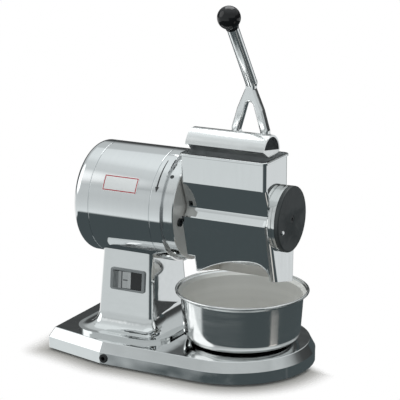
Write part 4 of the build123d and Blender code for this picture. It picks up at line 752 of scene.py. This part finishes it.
# rocker: ribbed grey end, then painted bands: a light strip and pale middle painted as light on the
# raised half, a thin dark line painted as shade in the gap, and a black end painted as shade on the
# pressed half
rockerSet = {"colour": (0.2, 0.2, 0.2), "shade": (0.24, 0.24, 0.24), "rough": (0.26, 0.4),
             "grainScale": 1900.0, "depth": 0.00003, "grainShare": 0.12,
             "ends": (-0.1065, -0.0575),
             "bands": [(0.0, (0.19, 0.20, 0.20)), (0.20, (0.50, 0.51, 0.51)),
                       (0.295, (0.10, 0.105, 0.11)), (0.335, (0.62, 0.63, 0.63)),
                       (0.615, (0.012, 0.013, 0.014))]}


def rockerFinish(s):
    kit = plasticFinish("rockerPlastic", s)
    tree = kit["tree"]
    share = ease(tree, axes(tree, kit["place"])["X"], *s["ends"], kind="LINEAR")
    # painted light and shade in bands across the rocker
    bands = ramp(tree, share, s["bands"], "CONSTANT")
    grained = blendColour(tree, s["grainShare"], bands, kit["tone"], "MULTIPLY")
    plug(tree, kit["skin"]["Base Color"], grained)
    return kit["mat"]


dress(rockerFinish(rockerSet), "switch_rocker")
print("materials dressed")


# detail pieces
def showOnly(piece):
    bpy.ops.object.select_all(action="DESELECT")
    piece.select_set(True)
    bpy.context.view_layer.objects.active = piece


def settle(piece):
    showOnly(piece)
    bpy.ops.object.transform_apply(location=True, rotation=True, scale=True)


def applyAll(piece):
    showOnly(piece)
    for modifier in list(piece.modifiers):
        bpy.ops.object.modifier_apply(modifier=modifier.name)


def joinAll(pieces, name):
    showOnly(pieces[0])
    for piece in pieces:
        piece.select_set(True)
    bpy.ops.object.join()
    pieces[0].name = name
    return pieces[0]


casingShape = {"radius": 0.08865, "smoothAngle": 30}


def wrapOnCasing(piece, s):  # flat X and Y become length along the casing and way round it
    low = min(v.co.y for v in piece.data.vertices)
    high = max(v.co.y for v in piece.data.vertices)
    showOnly(piece)
    bpy.ops.object.mode_set(mode="EDIT")
    for step in range(1, s["cuts"]):
        level = low + (high - low) * step / s["cuts"]
        bpy.ops.mesh.select_all(action="SELECT")
        bpy.ops.mesh.bisect(plane_co=(0, level, 0), plane_no=(0, 1, 0))
    bpy.ops.object.mode_set(mode="OBJECT")
    radius = casingShape["radius"]
    for vertex in piece.data.vertices:
        angle = math.radians(s["angle"]) + vertex.co.y / radius
        vertex.co = (s["along"] + vertex.co.x, -radius * math.cos(angle),
                     axisHeight + radius * math.sin(angle))
    thick = piece.modifiers.new("thick", "SOLIDIFY")
    thick.thickness = s["thick"]
    thick.offset = 1.0
    applyAll(piece)
    bpy.ops.object.shade_smooth_by_angle(angle=math.radians(casingShape["smoothAngle"]))


# blank plate on the casing
plateSet = {"length": 0.061, "height": 0.0262, "corner": 0.003, "cornerSteps": 5,
            "along": -0.0812, "angle": 28.6, "cuts": 18, "thick": 0.0004,
            "colour": (0.93, 0.93, 0.925), "shade": (0.90, 0.90, 0.895), "rough": (0.22, 0.34),
            "grainScale": 1500.0, "depth": 0.00001, "line": (0.50, 0.03, 0.045),
            "lineAt": (0.045, 0.105)}


def plateFinish(s):
    kit = plasticFinish("plateEnamel", s)
    tree = kit["tree"]
    sheet = axes(tree, coordinate(tree, "UV"))
    edges = []
    for name, size in (("X", s["length"]), ("Y", s["height"])):
        fromMiddle = calc(tree, "ABSOLUTE", calc(tree, "SUBTRACT", sheet[name], 0.5))
        inward = calc(tree, "SUBTRACT", 0.5, fromMiddle)
        edges.append(calc(tree, "MULTIPLY", inward, size / s["height"]))
    line = within(tree, calc(tree, "MINIMUM", *edges), s["lineAt"])
    plug(tree, kit["skin"]["Base Color"], blendColour(tree, line, kit["tone"], s["line"]))
    return kit["mat"]


def makePlate(s):
    bpy.ops.mesh.primitive_plane_add(size=1)
    plate = bpy.context.object
    plate.name = "blankPlate"
    plate.scale = (s["length"], s["height"], 1)
    settle(plate)
    bpy.ops.object.mode_set(mode="EDIT")
    bpy.ops.mesh.select_all(action="SELECT")
    bpy.ops.mesh.bevel(offset=s["corner"], segments=s["cornerSteps"], affect="VERTICES")
    bpy.ops.object.mode_set(mode="OBJECT")
    wrapOnCasing(plate, s)
    plate.data.materials.append(plateFinish(s))
    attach(plate, "stand")


makePlate(plateSet)

# turning arrow beside it
arrowSet = {"length": 0.051, "width": 0.0026, "thin": 0.35, "headLength": 0.0085,
            "headWidth": 0.0066, "along": -0.0174, "angle": 46.0, "cuts": 26, "thick": 0.0003,
            "plainSide": 1.732, "plainHeight": 1.5}  # of the triangle before it is scaled


def makeArrow(s):
    bpy.ops.mesh.primitive_plane_add(size=1)
    stem = bpy.context.object
    stem.scale = (s["width"], s["length"], 1)
    settle(stem)
    for vertex in stem.data.vertices:
        if vertex.co.y > 0:
            vertex.co.x *= s["thin"]
    bpy.ops.mesh.primitive_circle_add(vertices=3, radius=1, fill_type="NGON",
                                      rotation=(0, 0, math.pi))
    tip = bpy.context.object
    settle(tip)
    tip.scale = (s["headWidth"] / s["plainSide"], s["headLength"] / s["plainHeight"], 1)
    tip.location = (0, -s["length"] / 2 - s["headLength"] / 6, 0)  # overlaps the stem by a sixth
    settle(tip)
    arrow = joinAll([stem, tip], "turningArrow")
    wrapOnCasing(arrow, s)
    arrow.data.materials.append(blackPlastic)
    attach(arrow, "stand")


makeArrow(arrowSet)
print("plate and arrow made")

# punched teeth in rows along the roller, every second row shifted
teethSet = {"start": 0.0225, "pitch": 0.007, "perRow": 18, "rowPairs": 13, "radius": 0.033,
            "sides": 6, "base": 0.0017, "tip": 0.0005, "height": 0.0008, "sunk": 0.0004}


def makeTeeth(s):
    centre = Vector((0, 0, axisHeight))
    step = 2 * math.pi / s["rowPairs"]
    tall = s["height"] + s["sunk"]
    middle = axisHeight + (s["radius"] - s["sunk"] + tall / 2)

    def turned(angle):
        about = Matrix.Rotation(angle, 4, "X")
        return Matrix.Translation(centre) @ about @ Matrix.Translation(-centre)

    def repeat(piece, name, count):
        array = piece.modifiers.new(name, "ARRAY")
        array.count = count
        array.use_relative_offset = False
        return array

    rows = []
    for row in range(2):
        bpy.ops.mesh.primitive_cone_add(vertices=s["sides"], radius1=s["base"], radius2=s["tip"],
                                        depth=tall,
                                        location=(s["start"] + row * s["pitch"] / 2, 0, middle))
        tooth = bpy.context.object
        settle(tooth)
        along = repeat(tooth, "along", s["perRow"])
        along.use_constant_offset = True
        along.constant_offset_displace = (s["pitch"], 0, 0)
        applyAll(tooth)
        rows.append(tooth)
    rows[1].matrix_world = turned(step / 2)
    settle(rows[1])
    pair = joinAll(rows, "rollerTeeth")
    bpy.ops.object.empty_add()
    pivot = bpy.context.object
    pivot.matrix_world = turned(step)
    bpy.context.view_layer.update()
    around = repeat(pair, "around", s["rowPairs"])
    around.use_object_offset = True
    around.offset_object = pivot
    applyAll(pair)
    bpy.data.objects.remove(pivot)
    pair.data.materials.append(rollerSteel)
    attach(pair, "drive")


makeTeeth(teethSet)
print("roller teeth made")

# bright rounded edge along the foot of the head's front
beadMetalSet = {"colour": (0.95, 0.955, 0.955), "shade": (0.90, 0.905, 0.905),
                "rough": (0.25, 0.35), "stretch": (1, 1, 1), "lineScale": 2500.0,
                "lineDepth": 0.000002, "hazeScale": 25.0, "waveScale": 30.0, "waveDepth": 0.00002}
beadSet = {"thick": 0.0009, "front": -0.0525, "top": 0.236, "slope": 0.27717, "flange": 0.0126,
           "chuteLeft": 0.025, "step": 0.1700, "foot": 0.1440, "archLeft": 0.029,
           "archRight": 0.1505, "peak": 0.1262, "peakHeight": 0.173, "leftSteps": 6,
           "rightSteps": 5, "curveSteps": 6, "roundSteps": 2}


def makeBead(s):
    def onPanel(x, z):
        return (x, s["front"] + (s["top"] - z) * s["slope"], z)

    def archSide(end, count):
        reach, rise = end - s["peak"], s["peakHeight"] - s["foot"]
        radius = (reach * reach + rise * rise) / (2 * rise)
        sweep = math.atan2(abs(reach), radius - rise)
        points = []
        for step in range(count + 1):
            turn = sweep * step / count
            across = math.copysign(radius * math.sin(turn), reach)
            drop = radius * (1 - math.cos(turn))
            points.append(onPanel(s["peak"] + across, s["peakHeight"] - drop))
        return points

    corners = [onPanel(s["flange"], s["step"]), onPanel(s["chuteLeft"], s["step"]),
               onPanel(s["chuteLeft"], s["foot"]), onPanel(s["archLeft"], s["foot"])]
    left = archSide(s["archLeft"], s["leftSteps"])
    arch = left[:0:-1] + archSide(s["archRight"], s["rightSteps"])
    bpy.ops.curve.primitive_bezier_curve_add()
    bead = bpy.context.object
    bead.name = "chuteBead"
    curve = bead.data
    curve.splines.clear()
    for points, handle in ((corners, "VECTOR"), (arch, "AUTO")):
        spline = curve.splines.new("BEZIER")
        spline.bezier_points.add(len(points) - 1)
        for knot, point in zip(spline.bezier_points, points):
            knot.co = point
            knot.handle_left_type = knot.handle_right_type = handle
    curve.resolution_u = s["curveSteps"]
    curve.bevel_depth = s["thick"]
    curve.bevel_resolution = s["roundSteps"]
    curve.use_fill_caps = True
    showOnly(bead)
    bpy.ops.object.convert(target="MESH")
    bpy.ops.object.shade_smooth()
    bead.data.materials.append(metalFinish("beadBright", beadMetalSet)["mat"])
    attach(bead, "stand")


makeBead(beadSet)
print("chute edge made")

# ribs and mark on the rocker, in the rocker's own frame
rockerTop = {"frame": Matrix(((0.992546, 0.0, 0.121868, -0.082),
                              (0.121261, 0.099720, -0.987614, -0.0536166),
                              (-0.012153, 0.995016, 0.098980, 0.1207008), (0, 0, 0, 1))),
             "valley": 0.005, "slope": 0.1224, "roundSteps": 2}
ribSet = {"places": (-0.0232, -0.0209, -0.0186, -0.0163), "size": (0.0011, 0.0215, 0.0016),
          "round": 0.0003}
markSet = {"place": -0.004, "size": (0.0074, 0.0015, 0.0007), "round": 0.0002}


def rockerBar(along, s):
    bpy.ops.mesh.primitive_cube_add(size=1)
    bar = bpy.context.object
    bar.scale = s["size"]
    settle(bar)
    edge = bar.modifiers.new("edge", "BEVEL")
    edge.width = s["round"]
    edge.segments = rockerTop["roundSteps"]
    applyAll(bar)
    lift = Matrix.Translation((along, 0, rockerTop["valley"] - along * rockerTop["slope"]))
    lean = Matrix.Rotation(math.atan(rockerTop["slope"]), 4, "Y")
    bar.matrix_world = rockerTop["frame"] @ lift @ lean
    settle(bar)
    return bar


def makeRockerDetail(ribs, mark):
    grip = joinAll([rockerBar(place, ribs) for place in ribs["places"]], "rockerRibs")
    grip.data.materials.append(greyPlastic)
    dash = rockerBar(mark["place"], mark)
    dash.name = "rockerMark"
    dash.data.materials.append(blackPlastic)
    for piece, slot in ((grip, "grey_plastic"), (dash, "black_plastic")):
        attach(piece, "rocker")


makeRockerDetail(ribSet, markSet)
print("rocker detail made")
